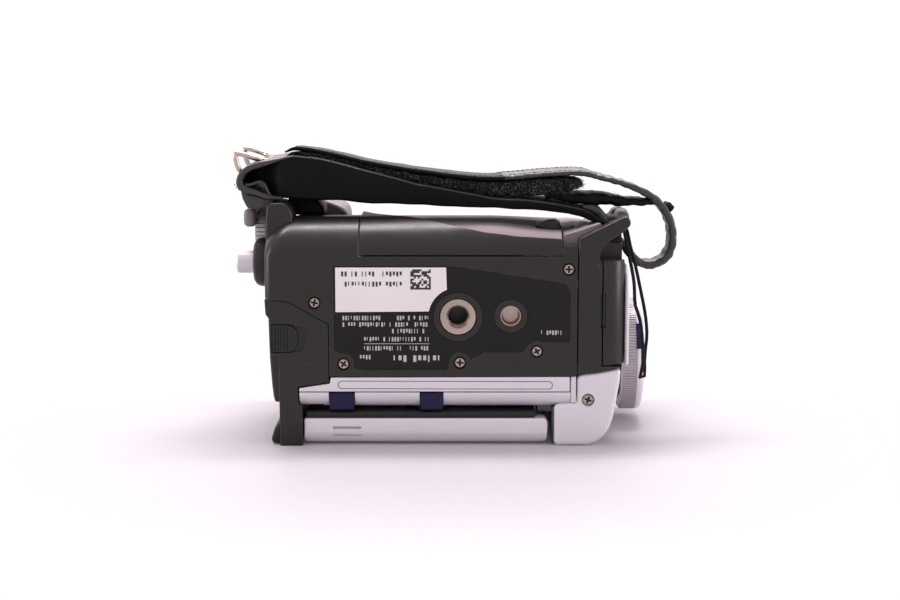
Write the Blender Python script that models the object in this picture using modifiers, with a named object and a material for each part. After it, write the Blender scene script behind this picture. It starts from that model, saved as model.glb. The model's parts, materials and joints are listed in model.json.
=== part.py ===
"""Compact tape camcorder with a hand strap, resting on its screen side.

+X is forward (out of the lens), +Y is the camcorder's top and +Z its grip side, which faces up.
The underside is the face near y = 0, before the origin is moved below the middle of the model.
Places and sizes in the calls below are in millimetres.
"""

import math

import bmesh
import bpy
from mathutils import Matrix, Vector

MM = 0.001
GAP = 0.3  # between pieces that touch
WALL = 2.0  # casing walls

# Where the middle of the whole model lies in the drawing frame
MIDDLE_X = -0.8
MIDDLE_Y = 39.5

# Casing
REAR_X = -58.7
SEAM_X = 36.1  # seam between the main casing and the front band
BAND_FRONT_X = 50.4
PANEL_FRONT_X = 52.2
TOP_Y = 76.0
LID_Y = 70.0  # where the top cover meets the grip side
GRIP_Z = 69.4
EDGE_Y, EDGE_Z = 13.0, 58.0  # centre of the rounded grip edge
DARK_LOW_Z = 21.6  # lowest line of the dark casing
FLANGE_Z = 73.7

# Cassette door
DOOR_REAR_X, DOOR_FRONT_X = -30.0, 31.7
DOOR_SEAM_Z = 58.6
DOOR_FAR_Y = 67.5
DOOR_HINGE = (0.0, 66.3, 66.2)
CASSETTE_LOW = (-28.6, 6.1, 49.4)
CASSETTE_SIZE = (48.2, 66.1, 12.2)
CARRIAGE_WALL = 0.8

# Screen panel
SCREEN_REAR_X = -47.0
SCREEN_FRONT_X = 27.6
SCREEN_LOW_Z = 0.3
SCREEN_SPLIT_Z = 8.4
SCREEN_TOP_Z = 10.5
SCREEN_NEAR_Y, SCREEN_FAR_Y = 0.6, 57.0
KNUCKLE_R = (SCREEN_SPLIT_Z - SCREEN_LOW_Z) / 2
SCREEN_HINGE = (SCREEN_FRONT_X - KNUCKLE_R, 0.0, SCREEN_LOW_Z + KNUCKLE_R)
HINGE_NEAR_Y, HINGE_FAR_Y = 20.0, 38.0

# Lens
LENS_Y, LENS_Z = 46.0, 21.0
LENS_RING_R = 18.2
LENS_REAR_X, LENS_FRONT_X = 52.5, 59.9

# Underside fittings: x and z
SOCKET = (0.0, 39.9)
SOCKET_R = 5.55
THREAD_R = 3.0
SOCKET_RIM_R = 7.4
PIN_HOLE = (16.0, 40.1)
PIN_R = 3.1
PIN_RIM_R = 5.0
SCREW_R = 1.6
SCREWS = {
    "screw_rear": (-43.5, 44.2),
    "screw_low_rear": (-34.8, 25.4),
    "screw_low_middle": (0.6, 25.8),
    "screw_low_front": (24.0, 29.3),
    "screw_front": (33.5, 54.4),
    "screw_silver_corner": (39.7, 14.3),
}

# Rear controls: y and z
DIAL = (34.0, 63.5)
DIAL_R = 7.0
RECORD = (20.0, 54.4)
RECORD_RING_R = 7.7
RECORD_R = 3.5
JOYSTICK = (52.0, 57.0)

# Top controls: x and z
ZOOM_PIVOT = (-44.0, 52.0)
PHOTO = (-27.0, 53.0)

ROUND = 20  # sides of a small turned piece


# ---------------------------------------------------------------- materials

def material(name, colour, roughness, metallic=0.0):
    """A Principled material; the colour is linear RGB."""
    mat = bpy.data.materials.new(name)
    mat.use_nodes = True
    shader = mat.node_tree.nodes["Principled BSDF"]
    shader.inputs["Base Color"].default_value = (*colour, 1.0)
    shader.inputs["Roughness"].default_value = roughness
    shader.inputs["Metallic"].default_value = metallic
    return mat


FINISHES = {
    "casing_grey": ((0.060, 0.055, 0.052), 0.42, 0.3),
    "charcoal_plate": ((0.028, 0.026, 0.026), 0.5, 0.1),
    "silver_paint": ((0.60, 0.60, 0.66), 0.35, 0.5),
    "grip_grey": ((0.30, 0.29, 0.31), 0.45, 0.3),
    "black_plastic": ((0.012, 0.012, 0.013), 0.5, 0.0),
    "screen_frame_grey": ((0.10, 0.095, 0.10), 0.5, 0.0),
    "screen_black": ((0.01, 0.01, 0.012), 0.12, 0.0),
    "label_white": ((0.78, 0.74, 0.77), 0.6, 0.0),
    "navy_plastic": ((0.02, 0.015, 0.09), 0.3, 0.0),
    "nickel": ((0.55, 0.50, 0.47), 0.3, 1.0),
    "chrome_wire": ((0.75, 0.73, 0.70), 0.12, 1.0),
    "rubber": ((0.014, 0.014, 0.014), 0.8, 0.0),
    "strap_leather": ((0.018, 0.018, 0.019), 0.55, 0.0),
    "hook_fabric": ((0.012, 0.012, 0.012), 0.95, 0.0),
    "cord_fabric": ((0.014, 0.014, 0.016), 0.8, 0.0),
    "lens_glass": ((0.02, 0.015, 0.04), 0.05, 0.0),
    "board_green": ((0.02, 0.10, 0.05), 0.5, 0.0),
    "chassis_steel": ((0.45, 0.45, 0.44), 0.35, 1.0),
}


# ---------------------------------------------------------------- building helpers

def clear_scene():
    for old in list(bpy.data.objects):
        bpy.data.objects.remove(old, do_unlink=True)


def collection(name):
    group = bpy.data.collections.new(name)
    bpy.context.scene.collection.children.link(group)
    return group


clear_scene()
PARTS = collection("camcorder")
CUTTERS = collection("cutters")
LOOKS = {name: material(name, *finish) for name, finish in FINISHES.items()}


def empty(name, at, parent=None):
    """A frame that pieces hang from; a joint's pieces hang from one on the joint's axis."""
    holder = bpy.data.objects.new(name, None)
    PARTS.objects.link(holder)
    holder.parent = parent
    holder.location = Vector(at) * MM
    return holder


FRAME = empty("camcorder_frame", (-MIDDLE_X, -MIDDLE_Y, 0.0))


def add(name, mesh, at, look, parent=None, rotation=None):
    """Put a mesh in the model as a piece, or among the cutters when it has no look."""
    piece = bpy.data.objects.new(name, mesh)
    parent = parent or FRAME
    offset = Vector(at) * MM
    if parent is not FRAME:
        offset = offset - parent.location
    piece.parent = parent
    piece.location = offset
    if rotation is not None:
        piece.rotation_euler = rotation.to_euler()
    if look is None:
        CUTTERS.objects.link(piece)
        piece.hide_render = True
        piece.display_type = "WIRE"
    else:
        PARTS.objects.link(piece)
        mesh.materials.clear()
        mesh.materials.append(LOOKS[look])
        mesh.shade_smooth()
        mesh.set_sharp_from_angle(angle=math.radians(35))
    return piece


def finish_mesh(name, bm):
    mesh = bpy.data.meshes.new(name)
    bm.to_mesh(mesh)
    bm.free()
    return mesh


def round_edges(piece, width, segments=2, angle=40.0):
    if width <= 0:
        return piece
    bevel = piece.modifiers.new("rounded_edges", "BEVEL")
    bevel.width = width * MM
    bevel.segments = segments
    bevel.limit_method = "ANGLE"
    bevel.angle_limit = math.radians(angle)
    bevel.use_clamp_overlap = True
    return piece


def box(name, low, high, look=None, edge=0.0, segments=2, parent=None):
    low, high = Vector(low), Vector(high)
    bm = bmesh.new()
    bmesh.ops.create_cube(bm, size=1.0)
    bmesh.ops.scale(bm, vec=(high - low) * MM, verts=bm.verts)
    piece = add(name, finish_mesh(name, bm), (low + high) / 2, look, parent)
    return round_edges(piece, edge, segments)


AXES = {
    "X": Matrix(((0, 0, 1), (1, 0, 0), (0, 1, 0))),
    "Y": Matrix(((1, 0, 0), (0, 0, -1), (0, 1, 0))),
    "Z": Matrix.Identity(3),
}


def along(axis, first, second, distance):
    """The point at (first, second) in the plane across an axis, at a distance along it."""
    return {
        "X": (distance, first, second),
        "Y": (first, distance, second),
        "Z": (first, second, distance),
    }[axis]


def cylinder(name, axis, centre, low, high, radius, look=None, sides=ROUND, edge=0.0,
             tip_radius=None, parent=None):
    """A round bar along an axis; tip_radius is the radius at its high end."""
    tip = radius if tip_radius is None else tip_radius
    if axis == "Y":  # local z runs along -Y
        radius, tip = tip, radius
    bm = bmesh.new()
    bmesh.ops.create_cone(bm, cap_ends=True, segments=sides, radius1=radius * MM,
                          radius2=tip * MM, depth=(high - low) * MM)
    at = along(axis, *centre, (low + high) / 2)
    piece = add(name, finish_mesh(name, bm), at, look, parent, AXES[axis])
    return round_edges(piece, edge, 1)


def arc(centre, radii, start, end, count):
    """Points on an elliptical arc; angles in degrees."""
    points = []
    for step in range(count + 1):
        angle = math.radians(start + (end - start) * step / count)
        points.append((centre[0] + radii[0] * math.cos(angle), centre[1] + radii[1] * math.sin(angle)))
    return points


def prism(name, outline, axis, low, high, look=None, edge=0.0, segments=2, parent=None, holes=()):
    """A flat outline extruded along an axis. Across X it is (y, z), across Y (x, z), across Z (x, y)."""
    curve = bpy.data.curves.new(name, "CURVE")
    curve.dimensions = "2D"
    curve.fill_mode = "BOTH"
    curve.extrude = (high - low) / 2 * MM
    for loop in (outline, *holes):
        spline = curve.splines.new("POLY")
        spline.points.add(len(loop) - 1)
        for point, (first, second) in zip(spline.points, loop):
            point.co = (first * MM, second * MM, 0.0, 1.0)
        spline.use_cyclic_u = True
    drawing = bpy.data.objects.new(name + "_outline", curve)
    CUTTERS.objects.link(drawing)
    mesh = bpy.data.meshes.new_from_object(drawing)
    bpy.data.objects.remove(drawing, do_unlink=True)
    bpy.data.curves.remove(curve)
    bm = bmesh.new()
    bm.from_mesh(mesh)
    bpy.data.meshes.remove(mesh)
    bmesh.ops.remove_doubles(bm, verts=bm.verts, dist=0.00001)
    bmesh.ops.dissolve_limit(bm, angle_limit=math.radians(0.5), verts=bm.verts, edges=bm.edges)
    bmesh.ops.recalc_face_normals(bm, faces=bm.faces)
    piece = add(name, finish_mesh(name, bm), along(axis, 0.0, 0.0, (low + high) / 2), look, parent,
                AXES[axis])
    return round_edges(piece, edge, segments)


def turned(name, axis, centre, profile, look=None, sides=ROUND, parent=None):
    """A closed ring turned about an axis: profile is (radius, distance along the axis)."""
    bm = bmesh.new()
    corners = [bm.verts.new((radius * MM, 0.0, distance * MM)) for radius, distance in profile]
    edges = [bm.edges.new(pair) for pair in zip(corners, corners[1:] + corners[:1])]
    bmesh.ops.spin(bm, geom=corners + edges, cent=(0, 0, 0), axis=(0, 0, 1),
                   angle=math.tau, steps=sides, use_merge=True)
    bmesh.ops.remove_doubles(bm, verts=bm.verts, dist=0.00001)
    on_axis = [edge for edge in bm.edges if not edge.link_faces]
    bmesh.ops.delete(bm, geom=on_axis, context="EDGES")
    bmesh.ops.recalc_face_normals(bm, faces=bm.faces)
    rotation = AXES[axis]
    if axis == "Y":  # keep distances growing along +Y
        rotation = rotation @ Matrix.Rotation(math.pi, 3, "X")
    return add(name, finish_mesh(name, bm), along(axis, *centre, 0.0), look, parent, rotation)


def change(piece, tool, operation):
    modifier = piece.modifiers.new(tool.name, "BOOLEAN")
    modifier.operation = operation
    modifier.object = tool
    modifier.solver = "EXACT"
    return piece


def cut(piece, *tools):
    for tool in tools:
        change(piece, tool, "DIFFERENCE")
    return piece


def join(piece, *tools):
    for tool in tools:
        change(piece, tool, "UNION")
    return piece


def smooth_path(route, count):
    """Points at even steps on a smooth curve through the route's points."""
    points = [Vector(p) for p in route]
    padded = [2 * points[0] - points[1], *points, 2 * points[-1] - points[-2]]
    dense = []
    for a, b, c, d in zip(padded, padded[1:], padded[2:], padded[3:]):
        for step in range(12):
            t = step / 12
            dense.append(0.5 * ((2 * b) + (c - a) * t + (2 * a - 5 * b + 4 * c - d) * t ** 2
                                + (3 * b - a - 3 * c + d) * t ** 3))
    dense.append(points[-1])
    lengths = [0.0]
    for a, b in zip(dense, dense[1:]):
        lengths.append(lengths[-1] + (b - a).length)
    even, index = [], 0
    for step in range(count):
        want = lengths[-1] * step / (count - 1)
        while index < len(dense) - 2 and lengths[index + 1] < want:
            index += 1
        span = lengths[index + 1] - lengths[index]
        even.append(dense[index].lerp(dense[index + 1], (want - lengths[index]) / span))
    return even


def ribbon(name, route, thickness, low_y, high_y, look, count, edge=0.0):
    """A strap seen on edge: a band of even thickness along a path in (x, z)."""
    path = smooth_path([(x, z, 0.0) for x, z in route], count)
    left, right = [], []
    for index, point in enumerate(path):
        before, after = path[max(index - 1, 0)], path[min(index + 1, count - 1)]
        forward = (after - before).normalized()
        side = Vector((-forward.y, forward.x, 0.0)) * thickness / 2
        left.append(tuple((point + side)[:2]))
        right.append(tuple((point - side)[:2]))
    return prism(name, left + right[::-1], "Y", low_y, high_y, look, edge, 1)


def wire(name, route, radius, look, count=None, closed=False, parent=None):
    """A round wire or cord along a route; an open one runs on a smooth curve."""
    points = [Vector(p) for p in route] if closed else smooth_path(route, count)
    curve = bpy.data.curves.new(name, "CURVE")
    curve.dimensions = "3D"
    curve.bevel_depth = radius * MM
    curve.bevel_resolution = 2
    curve.use_fill_caps = not closed
    spline = curve.splines.new("POLY")
    spline.points.add(len(points) - 1)
    for knot, point in zip(spline.points, points):
        knot.co = (*(point * MM), 1.0)
    spline.use_cyclic_u = closed
    curve.materials.append(LOOKS[look])
    piece = bpy.data.objects.new(name, curve)
    PARTS.objects.link(piece)
    piece.parent = parent or FRAME
    if parent:
        piece.location = -parent.location
    return piece


# ---------------------------------------------------------------- casings

def grip_skin(depth, low_z, far_y):
    """The casing's skin line in (y, z) from the underside over the rounded edge to the grip side."""
    rounded = arc((EDGE_Y, EDGE_Z), (EDGE_Y - depth, GRIP_Z - EDGE_Z - depth), 180, 90, 8)
    return [(depth, low_z), *(point for point in rounded if point[1] > low_z + GAP), (far_y, GRIP_Z - depth)]


def grip_section(outside, inside, low_z, far_y):
    """Section of the casing across X: underside, rounded grip edge, grip side; depths from the skin."""
    return grip_skin(outside, low_z, far_y) + grip_skin(inside, low_z, far_y)[::-1]


def screw_holes():
    """Counterbores and shank holes for the underside screws."""
    tools = []
    for name, place in SCREWS.items():
        head = cylinder(name + "_counterbore", "Y", place, -1.0, 1.5, SCREW_R + GAP, sides=16)
        shank = cylinder(name + "_hole", "Y", place, 1.2, 4.0, 0.8 + GAP, sides=12)
        tools.append((name, join(head, shank)))
    return dict(tools)


def disc(centre, radius, sides=ROUND):
    return arc(centre, (radius, radius), 0, 360 - 360 / sides, sides - 1)


def grown(outline, distance):
    """The outline moved outwards by a distance."""
    edges = list(zip(outline, outline[1:] + outline[:1]))
    turn = math.copysign(1.0, sum(a[0] * b[1] - b[0] * a[1] for a, b in edges))
    outward = []
    for a, b in edges:
        edge = (Vector(b) - Vector(a)).normalized()
        outward.append(Vector((edge.y, -edge.x)) * turn)
    moved = []
    for point, before, after in zip(outline, outward[-1:] + outward[:-1], outward):
        corner = (before + after).normalized()
        moved.append(tuple(Vector(point) + corner * distance / corner.dot(before)))
    return moved


def plate_outline():
    """The charcoal plate's edge in (x, z), stepping round the three low screws."""
    bump = 3.4
    low_left, low_mid, low_right = 23.6, 29.1, 32.2
    first, second, third = (SCREWS[n] for n in ("screw_low_rear", "screw_low_middle", "screw_low_front"))
    left, right = -37.6, 34.0
    return [
        (left, 55.4), (left, first[1] + bump + 1.0),
        *arc((first[0], first[1]), (bump, bump), 100, -20, 6),
        (-28.8, low_left), (second[0] - bump - 0.6, low_left),
        *arc(second, (bump, bump), 160, 20, 6),
        (8.0, low_mid), (third[0] - bump - 1.2, low_mid),
        *arc(third, (bump, bump), 150, 60, 5),
        (right, low_right), (right, 45.5),
        *arc((right - 5.0, 45.5), (5.0, 5.0), 10, 80, 4),
        (0.0, 55.2),
    ]


REAR_SEAM = [(-58.7, 45.4), (-51.3, 44.4), (-39.3, 37.6)]  # where the bay meets the main casing


def rear_cover_outline():
    """The battery bay's underside cover in (x, z), with the foot beside the screen and its spur."""
    return [
        *REAR_SEAM, (-39.3, 19.6), (-48.8, 18.3), (-48.8, 13.0), (-47.4, 12.0), (-47.4, 0.0),
        (-56.6, 0.0), (-56.4, 1.6), (-54.4, 5.6), (-54.2, 27.7), (-57.0, 28.0), (-57.0, 39.4),
        (-58.4, 41.0),
    ]


def main_casing(holes):
    casing = prism("main_casing", grip_skin(0, DARK_LOW_Z, LID_Y) + [(LID_Y, DARK_LOW_Z)], "X",
                   REAR_X, SEAM_X, "casing_grey", 1.2, 2)
    inside = prism("casing_hollow", grip_skin(WALL, DARK_LOW_Z - 5, LID_Y + 5)
                   + [(LID_Y + 5, DARK_LOW_Z - 5)], "X", REAR_X + 1.8, SEAM_X + 5)
    flange = box("rear_flange", (REAR_X + 0.3, 7, GRIP_Z - 1.5), (-50.4, 58, FLANGE_Z), edge=2.0, segments=3)
    hump = prism("grip_hump", [(-50.5, 67.6), (-50.5, 72.6), (-46, 73.0), (-38, 71.5), (-32.5, 69.0),
                               (-31.5, 67.6)], "Y", 26, 62, edge=1.5)
    boss = cylinder("socket_boss", "Y", SOCKET, WALL - 0.5, 9.5, SOCKET_RIM_R)
    pin_boss = cylinder("pin_boss", "Y", PIN_HOLE, WALL - 0.5, 7.0, PIN_RIM_R)
    recess = prism("plate_recess", grown(plate_outline(), GAP), "Y", -1.0, 1.0,
                   holes=(disc(SOCKET, SOCKET_RIM_R), disc(PIN_HOLE, PIN_RIM_R)))
    cut(casing, inside)
    join(casing, flange, hump, boss, pin_boss)
    cut(casing, recess, box("viewfinder_gap", (REAR_X - 5, 46, 10), (REAR_X + 5, 80, 46)))
    cut(casing, box("door_opening", (DOOR_REAR_X - GAP, -5, DOOR_SEAM_Z - GAP),
                    (DOOR_FRONT_X + GAP, DOOR_FAR_Y + GAP, 90)))
    cut(casing, box("front_grip_opening", (DOOR_FRONT_X - 1, -5, 61.4), (SEAM_X + 5, LID_Y + 5, 90)))
    seam = grown([(-70, 45.4), *REAR_SEAM, (-39.3, 10), (-70, 10)], GAP)
    cut(casing, prism("rear_cover_opening", seam, "Y", -5, 60))
    cut(casing, cylinder("socket_seat", "Y", SOCKET, -2, 8.8, SOCKET_R + GAP))
    cut(casing, cylinder("pin_bore", "Y", PIN_HOLE, -2, 5.8, PIN_R + GAP))
    cut(casing, *(holes[n] for n in SCREWS if n not in ("screw_silver_corner",)))
    cut(casing, cylinder("record_shaft_hole", "X", RECORD, REAR_X - 2, REAR_X + 4, 2.2))
    cut(casing, cylinder("dial_shaft_hole", "X", DIAL, REAR_X - 2, REAR_X + 4, 2.2))
    cut(casing, cylinder("joystick_hole", "X", JOYSTICK, REAR_X - 2, REAR_X + 4, 2.4))
    return casing


def underside_plate(holes):
    plate = prism("underside_plate", plate_outline(), "Y", 0.1, 0.7, "charcoal_plate",
                  holes=(disc(SOCKET, SOCKET_RIM_R + GAP), disc(PIN_HOLE, PIN_RIM_R + GAP)))
    label = [(-37.1, 54.8), (-3.5, 54.8), (-3.5, 49.2), (-6.4, 47.5), (-8.5, 44.8), (-9.0, 41.5),
             (-36.8, 41.5)]
    prism("rating_label", label, "Y", -0.4, -0.2, "label_white")
    return plate


def top_cover():
    """Lid over the camcorder's top, wrapping down to the grip side."""
    def skin(depth):
        return [(TOP_Y - depth, DARK_LOW_Z), (TOP_Y - depth, 58.0),
                *arc((LID_Y + GAP, 58.0), (TOP_Y - LID_Y - GAP - depth, GRIP_Z - 58.0 - depth), 0, 90, 6)]
    cover = prism("top_cover", skin(0) + skin(WALL)[::-1], "X", REAR_X + 0.6, BAND_FRONT_X,
                  "silver_paint", 0.7, 1)
    cut(cover, cylinder("zoom_post_hole", "Y", ZOOM_PIVOT, 70, 80, 2.3))
    cut(cover, cylinder("photo_hole", "Y", PHOTO, 70, 80, 3.8))
    cut(cover, box("front_corner_clearance", (SEAM_X, 70, 15), (60, 80, 24.4)))
    return cut(cover, box("grille_seat", (24, 70, 30), (44, 80, 42)))


def side_shell():
    """Screen-side wall: a shallow channel under the closed screen."""
    def skin(depth):
        return [*arc((7.0, 16.4), (7.0 - depth, 3.7 - depth), 180, 270, 5),
                *arc((TOP_Y - 6.2, 18.0), (6.0 - depth, 5.3 - depth), 270, 360, 5),
                (TOP_Y - 0.2 - depth, DARK_LOW_Z - GAP)]
    shell = prism("side_shell", skin(0) + skin(1.8)[::-1], "X", -48.4, SEAM_X - 1.8, "silver_paint", 0.5, 1)
    cut(shell, box("battery_clearance", (-50, 2.9, 5), (-41.1, 46, 30)))
    cut(shell, *(box(f"insert_seat_{n}", (low - GAP, -2, 11), (high + GAP, 5.3, 20))
                 for n, (low, high) in enumerate(INSERTS)))
    cut(shell, *(cylinder(f"button_hole_{n}", "Z", (x, SIDE_BUTTON_Y), 10, 16, 2.8)
                 for n, x in enumerate(SIDE_BUTTONS.values())))
    return shell


INSERTS = ((-39.2, -31.6), (-11.5, -4.6))
SIDE_BUTTON_Y = 64.0
SIDE_BUTTONS = {"menu_button": -30.0}


def side_trim():
    outline = [(-48.4, 16.8), (-48.4, 17.9), (-39.0, 19.2), (-38.9, 21.3), (34.0, 21.3), (34.0, 16.8)]
    trim = prism("side_trim_strip", outline, "Y", 0.0, 3.0, "silver_paint", 0.4, 1)
    return trim


def navy_insert():
    """Two coloured pads in the edge of the side wall, moulded on one strip behind it."""
    pads = [box(f"navy_pad_{n}", (low, 0.4, 12.4), (high, 5.0, 16.5), edge=0.8)
            for n, (low, high) in enumerate(INSERTS)]
    strip = box("navy_insert", (INSERTS[0][0], 4.5, 14.9), (INSERTS[1][1], 7.0, 16.2), "navy_plastic")
    return join(strip, *pads)


def front_housing(holes):
    """Silver corner round the lens: the screen's hinge end of the body."""
    outline = [(29.5, 13.0), (29.5, 1.5), *arc((31.0, 1.5), (1.5, 1.5), 180, 270, 3),
               (40.0, 0.0), (44.4, 2.6), (47.6, 8.5), (48.9, 12.4), (49.8, 17.0), (50.1, 24.0),
               (43.0, 22.6), (36.4, 21.8), (36.4, 13.0)]
    housing = prism("front_housing", outline, "Y", 0.0, TOP_Y - 0.2, "silver_paint", 1.2, 2)
    cut(housing, box("housing_hollow", (20, WALL, 2.0), (46.5, TOP_Y - WALL - 0.2, 40)))
    cut(housing, cylinder("barrel_bore", "X", (LENS_Y, LENS_Z), 40, 60, 13.9, sides=32))
    return cut(housing, holes["screw_silver_corner"])


def front_band():
    """Dark band behind the front panel, with the strap lug at the grip side."""
    def skin(depth):
        return [(depth, 24.6), *arc((EDGE_Y - 4, 50.0), (EDGE_Y - 4 - depth, 7.0 - depth), 180, 90, 6),
                (LID_Y, 57.0 - depth)]
    band = prism("front_band", skin(0) + skin(WALL)[::-1], "X", SEAM_X + GAP, BAND_FRONT_X,
                 "casing_grey", 0.8, 1)
    arm = [(36.4, 54.0), (36.4, 63.4), (44.1, 66.8), (49.0, 70.2), *arc((50.0, 68.4), (2.0, 2.0), 100, -50, 5),
           (46.6, 63.1), (43.0, 59.5), (42.0, 54.0)]
    near_arm = prism("lug_near_arm", arm, "Y", 0.4, 5.0, edge=0.8)
    far_arm = prism("lug_far_arm", arm, "Y", 42.0, 46.0, edge=0.8)
    bar = cylinder("lug_bar", "Y", (49.9, 68.4), 4.0, 43.0, 1.8, sides=12)
    join(band, near_arm, far_arm, bar)
    return cut(band, box("jack_opening", (43.8, -3, 25.2 - GAP), (BAND_FRONT_X + 2, 9.0, 57.1)))


def front_panel():
    """Silver face plate round the lens."""
    outline = [(0.8, 24.4), (TOP_Y - 0.8, 24.4), *arc((66.6, 46.5), (8.6, 8.0), 0, 90, 5),
               *arc((8.8, 46.5), (8.0, 8.0), 90, 180, 5)]
    panel = prism("front_panel", outline, "X", BAND_FRONT_X + 0.4, PANEL_FRONT_X, "silver_paint", 0.6)
    return cut(panel, cylinder("lens_opening", "X", (LENS_Y, LENS_Z), 40, 60, 13.9, sides=32))


def rear_cover():
    """Battery bay: underside cover with the foot, a column beside the screen and a bulkhead."""
    cover = prism("rear_cover", rear_cover_outline(), "Y", 0.0, 2.6, "casing_grey", 0.7, 1)
    column = box("bay_column", (-54.2, 2.0, 0.0), (-47.4, 46.0, 12.0), edge=1.0)
    bulkhead = box("bay_bulkhead", (-41.0, 2.0, 19.8), (-39.3, 46.0, 37.0))
    join(cover, column, bulkhead)
    slot = box("slider_seat", (-58, -1, 28.6), (-45.8, 1.4, 37.9))
    return cut(cover, slot, cylinder("rear_screw_clearance", "Y", SCREWS["screw_rear"], -1, 4, 2.2))


def grip_front_plate():
    """Pale plate between the cassette door and the lug."""
    outline = [(3.5, 61.8), (5.0, 63.6), (12.0, 66.6), (40.0, 67.2), (66.0, 66.0), (69.5, 63.0),
               (69.5, 61.0), (12.0, 61.8)]
    return prism("grip_front_plate", outline, "X", DOOR_FRONT_X + 0.4, SEAM_X - 0.2, "grip_grey", 0.5, 1)


# ---------------------------------------------------------------- cassette door and tape drive

def door_edge():
    """The line in (x, y) where the dark door ends and its pale plate begins."""
    return [(DOOR_REAR_X, 12.6), (-22.0, 11.4), (-10.0, 8.0), (2.0, 4.9), (14.0, 3.3), (DOOR_FRONT_X, 2.9)]


def cassette_door(hinge):
    near = prism("cassette_door", grip_section(0, 3.4, DOOR_SEAM_Z, 20.0), "X", DOOR_REAR_X,
                 DOOR_FRONT_X, "casing_grey", 0.5, 1, parent=hinge)
    edge = door_edge()
    near_region = prism("door_near_region", [(DOOR_REAR_X - 5, -5), (DOOR_FRONT_X + 5, -5),
                                             (DOOR_FRONT_X + 5, edge[-1][1]), *edge[::-1],
                                             (DOOR_REAR_X - 5, edge[0][1])], "Z", 50, 90)
    change(near, near_region, "INTERSECT")
    plate = prism("grip_plate", grip_section(1.2, 3.2, DOOR_SEAM_Z + 1, DOOR_FAR_Y), "X", DOOR_REAR_X,
                  DOOR_FRONT_X, "grip_grey", 0.4, 1, parent=hinge)
    beyond = [(x, y + GAP) for x, y in edge]
    plate_region = prism("door_far_region", [(DOOR_REAR_X - 5, 90), (DOOR_REAR_X - 5, beyond[0][1]), *beyond,
                                             (DOOR_FRONT_X + 5, beyond[-1][1]), (DOOR_FRONT_X + 5, 90)],
                         "Z", 50, 90)
    change(plate, plate_region, "INTERSECT")
    cut(plate, box("lever_slot", (22.0, 12.0, 60.0), (31.0, 20.0, 75.0)))
    low, high = CASSETTE_LOW, [a + b for a, b in zip(CASSETTE_LOW, CASSETTE_SIZE)]
    carriage = box("cassette_carriage", [v - CARRIAGE_WALL for v in low], [v + CARRIAGE_WALL for v in high],
                   "chassis_steel", parent=hinge)
    cut(carriage, box("cassette_space", (low[0], 0, low[2]), high))
    pin = cylinder("door_hinge_pin", "X", DOOR_HINGE[1:], DOOR_REAR_X + 1, DOOR_FRONT_X - 1, 0.9,
                   "chassis_steel", 12, parent=None)
    cut(plate, cylinder("hinge_pin_bore", "X", DOOR_HINGE[1:], -60, 60, 1.2, sides=12))
    cut(plate, prism("far_edge_relief", [(66.4, 68.7), (66.9, 67.5), (66.9, 65.0), (72, 65.0), (72, 75),
                                         (66.4, 75)], "X", -60, 60))
    return pin


def tape_drive():
    chassis = box("tape_chassis", (-35, 10, 45.8), (39.8, 73, 47.0), "chassis_steel")
    cylinder("head_drum", "Z", (30.4, 39.0), 47.3, 53.6, 9.2, "chassis_steel", edge=0.4)
    box("main_board", (-35, 10.5, 41.8), (31.5, 72, 43.2), "board_green")
    return chassis


def eject_lever(parent):
    lever = box("eject_lever", (23.2, 12.4, 64.2), (28.6, 19.6, 69.0), "black_plastic", 0.8, parent=parent)
    return lever


# ---------------------------------------------------------------- screen panel

def screen_panel(hinge):
    radius = KNUCKLE_R
    outline = [*arc((SCREEN_REAR_X + 1.5, SCREEN_LOW_Z + 1.5), (1.5, 1.5), 180, 270, 3),
               *arc((SCREEN_HINGE[0], SCREEN_HINGE[2]), (radius, radius), 270, 450, 10),
               (SCREEN_REAR_X, SCREEN_SPLIT_Z)]
    shell = prism("screen_back_shell", outline, "Y", SCREEN_NEAR_Y, SCREEN_FAR_Y, "silver_paint", 1.0,
                  parent=hinge)
    notch = box("hinge_notch", (18.4, HINGE_NEAR_Y, -5), (35, HINGE_FAR_Y, 15))
    pocket = box("screen_pocket", (-45, 2.6, 2.2), (17.6, 55, 20))
    pin_bore = cylinder("screen_pin_bore", "Y", (SCREEN_HINGE[0], SCREEN_HINGE[2]), 15, 43, 1.3, sides=12)
    cut(shell, notch, pocket, pin_bore)
    frame = box("screen_inner_frame", (SCREEN_REAR_X + 0.2, 0.9, SCREEN_SPLIT_Z + GAP),
                (23.9, 56.7, SCREEN_TOP_Z), "screen_frame_grey", 0.5, 1, parent=hinge)
    cut(frame, notch, box("screen_window", (-38.3, 9.7, 5), (13.3, 48.3, 20)))
    box("screen", (-38, 10, 2.6), (13, 48, SCREEN_TOP_Z - 0.5), "screen_black", 0.2, 1, parent=hinge)
    arm = cylinder("screen_hinge_arm", "Y", (SCREEN_HINGE[0], SCREEN_HINGE[2]), HINGE_NEAR_Y + 0.4,
                   HINGE_FAR_Y - 0.4, KNUCKLE_R - 0.5, "silver_paint")
    tail = box("hinge_tail", (SCREEN_HINGE[0], 23, 3.0), (29.2, 35, 6.2))
    join(arm, tail)
    return join(arm, cylinder("hinge_trunnions", "Y", (SCREEN_HINGE[0], SCREEN_HINGE[2]), 15.5, 42.5, 1.0,
                              sides=12))


# ---------------------------------------------------------------- lens

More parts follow.
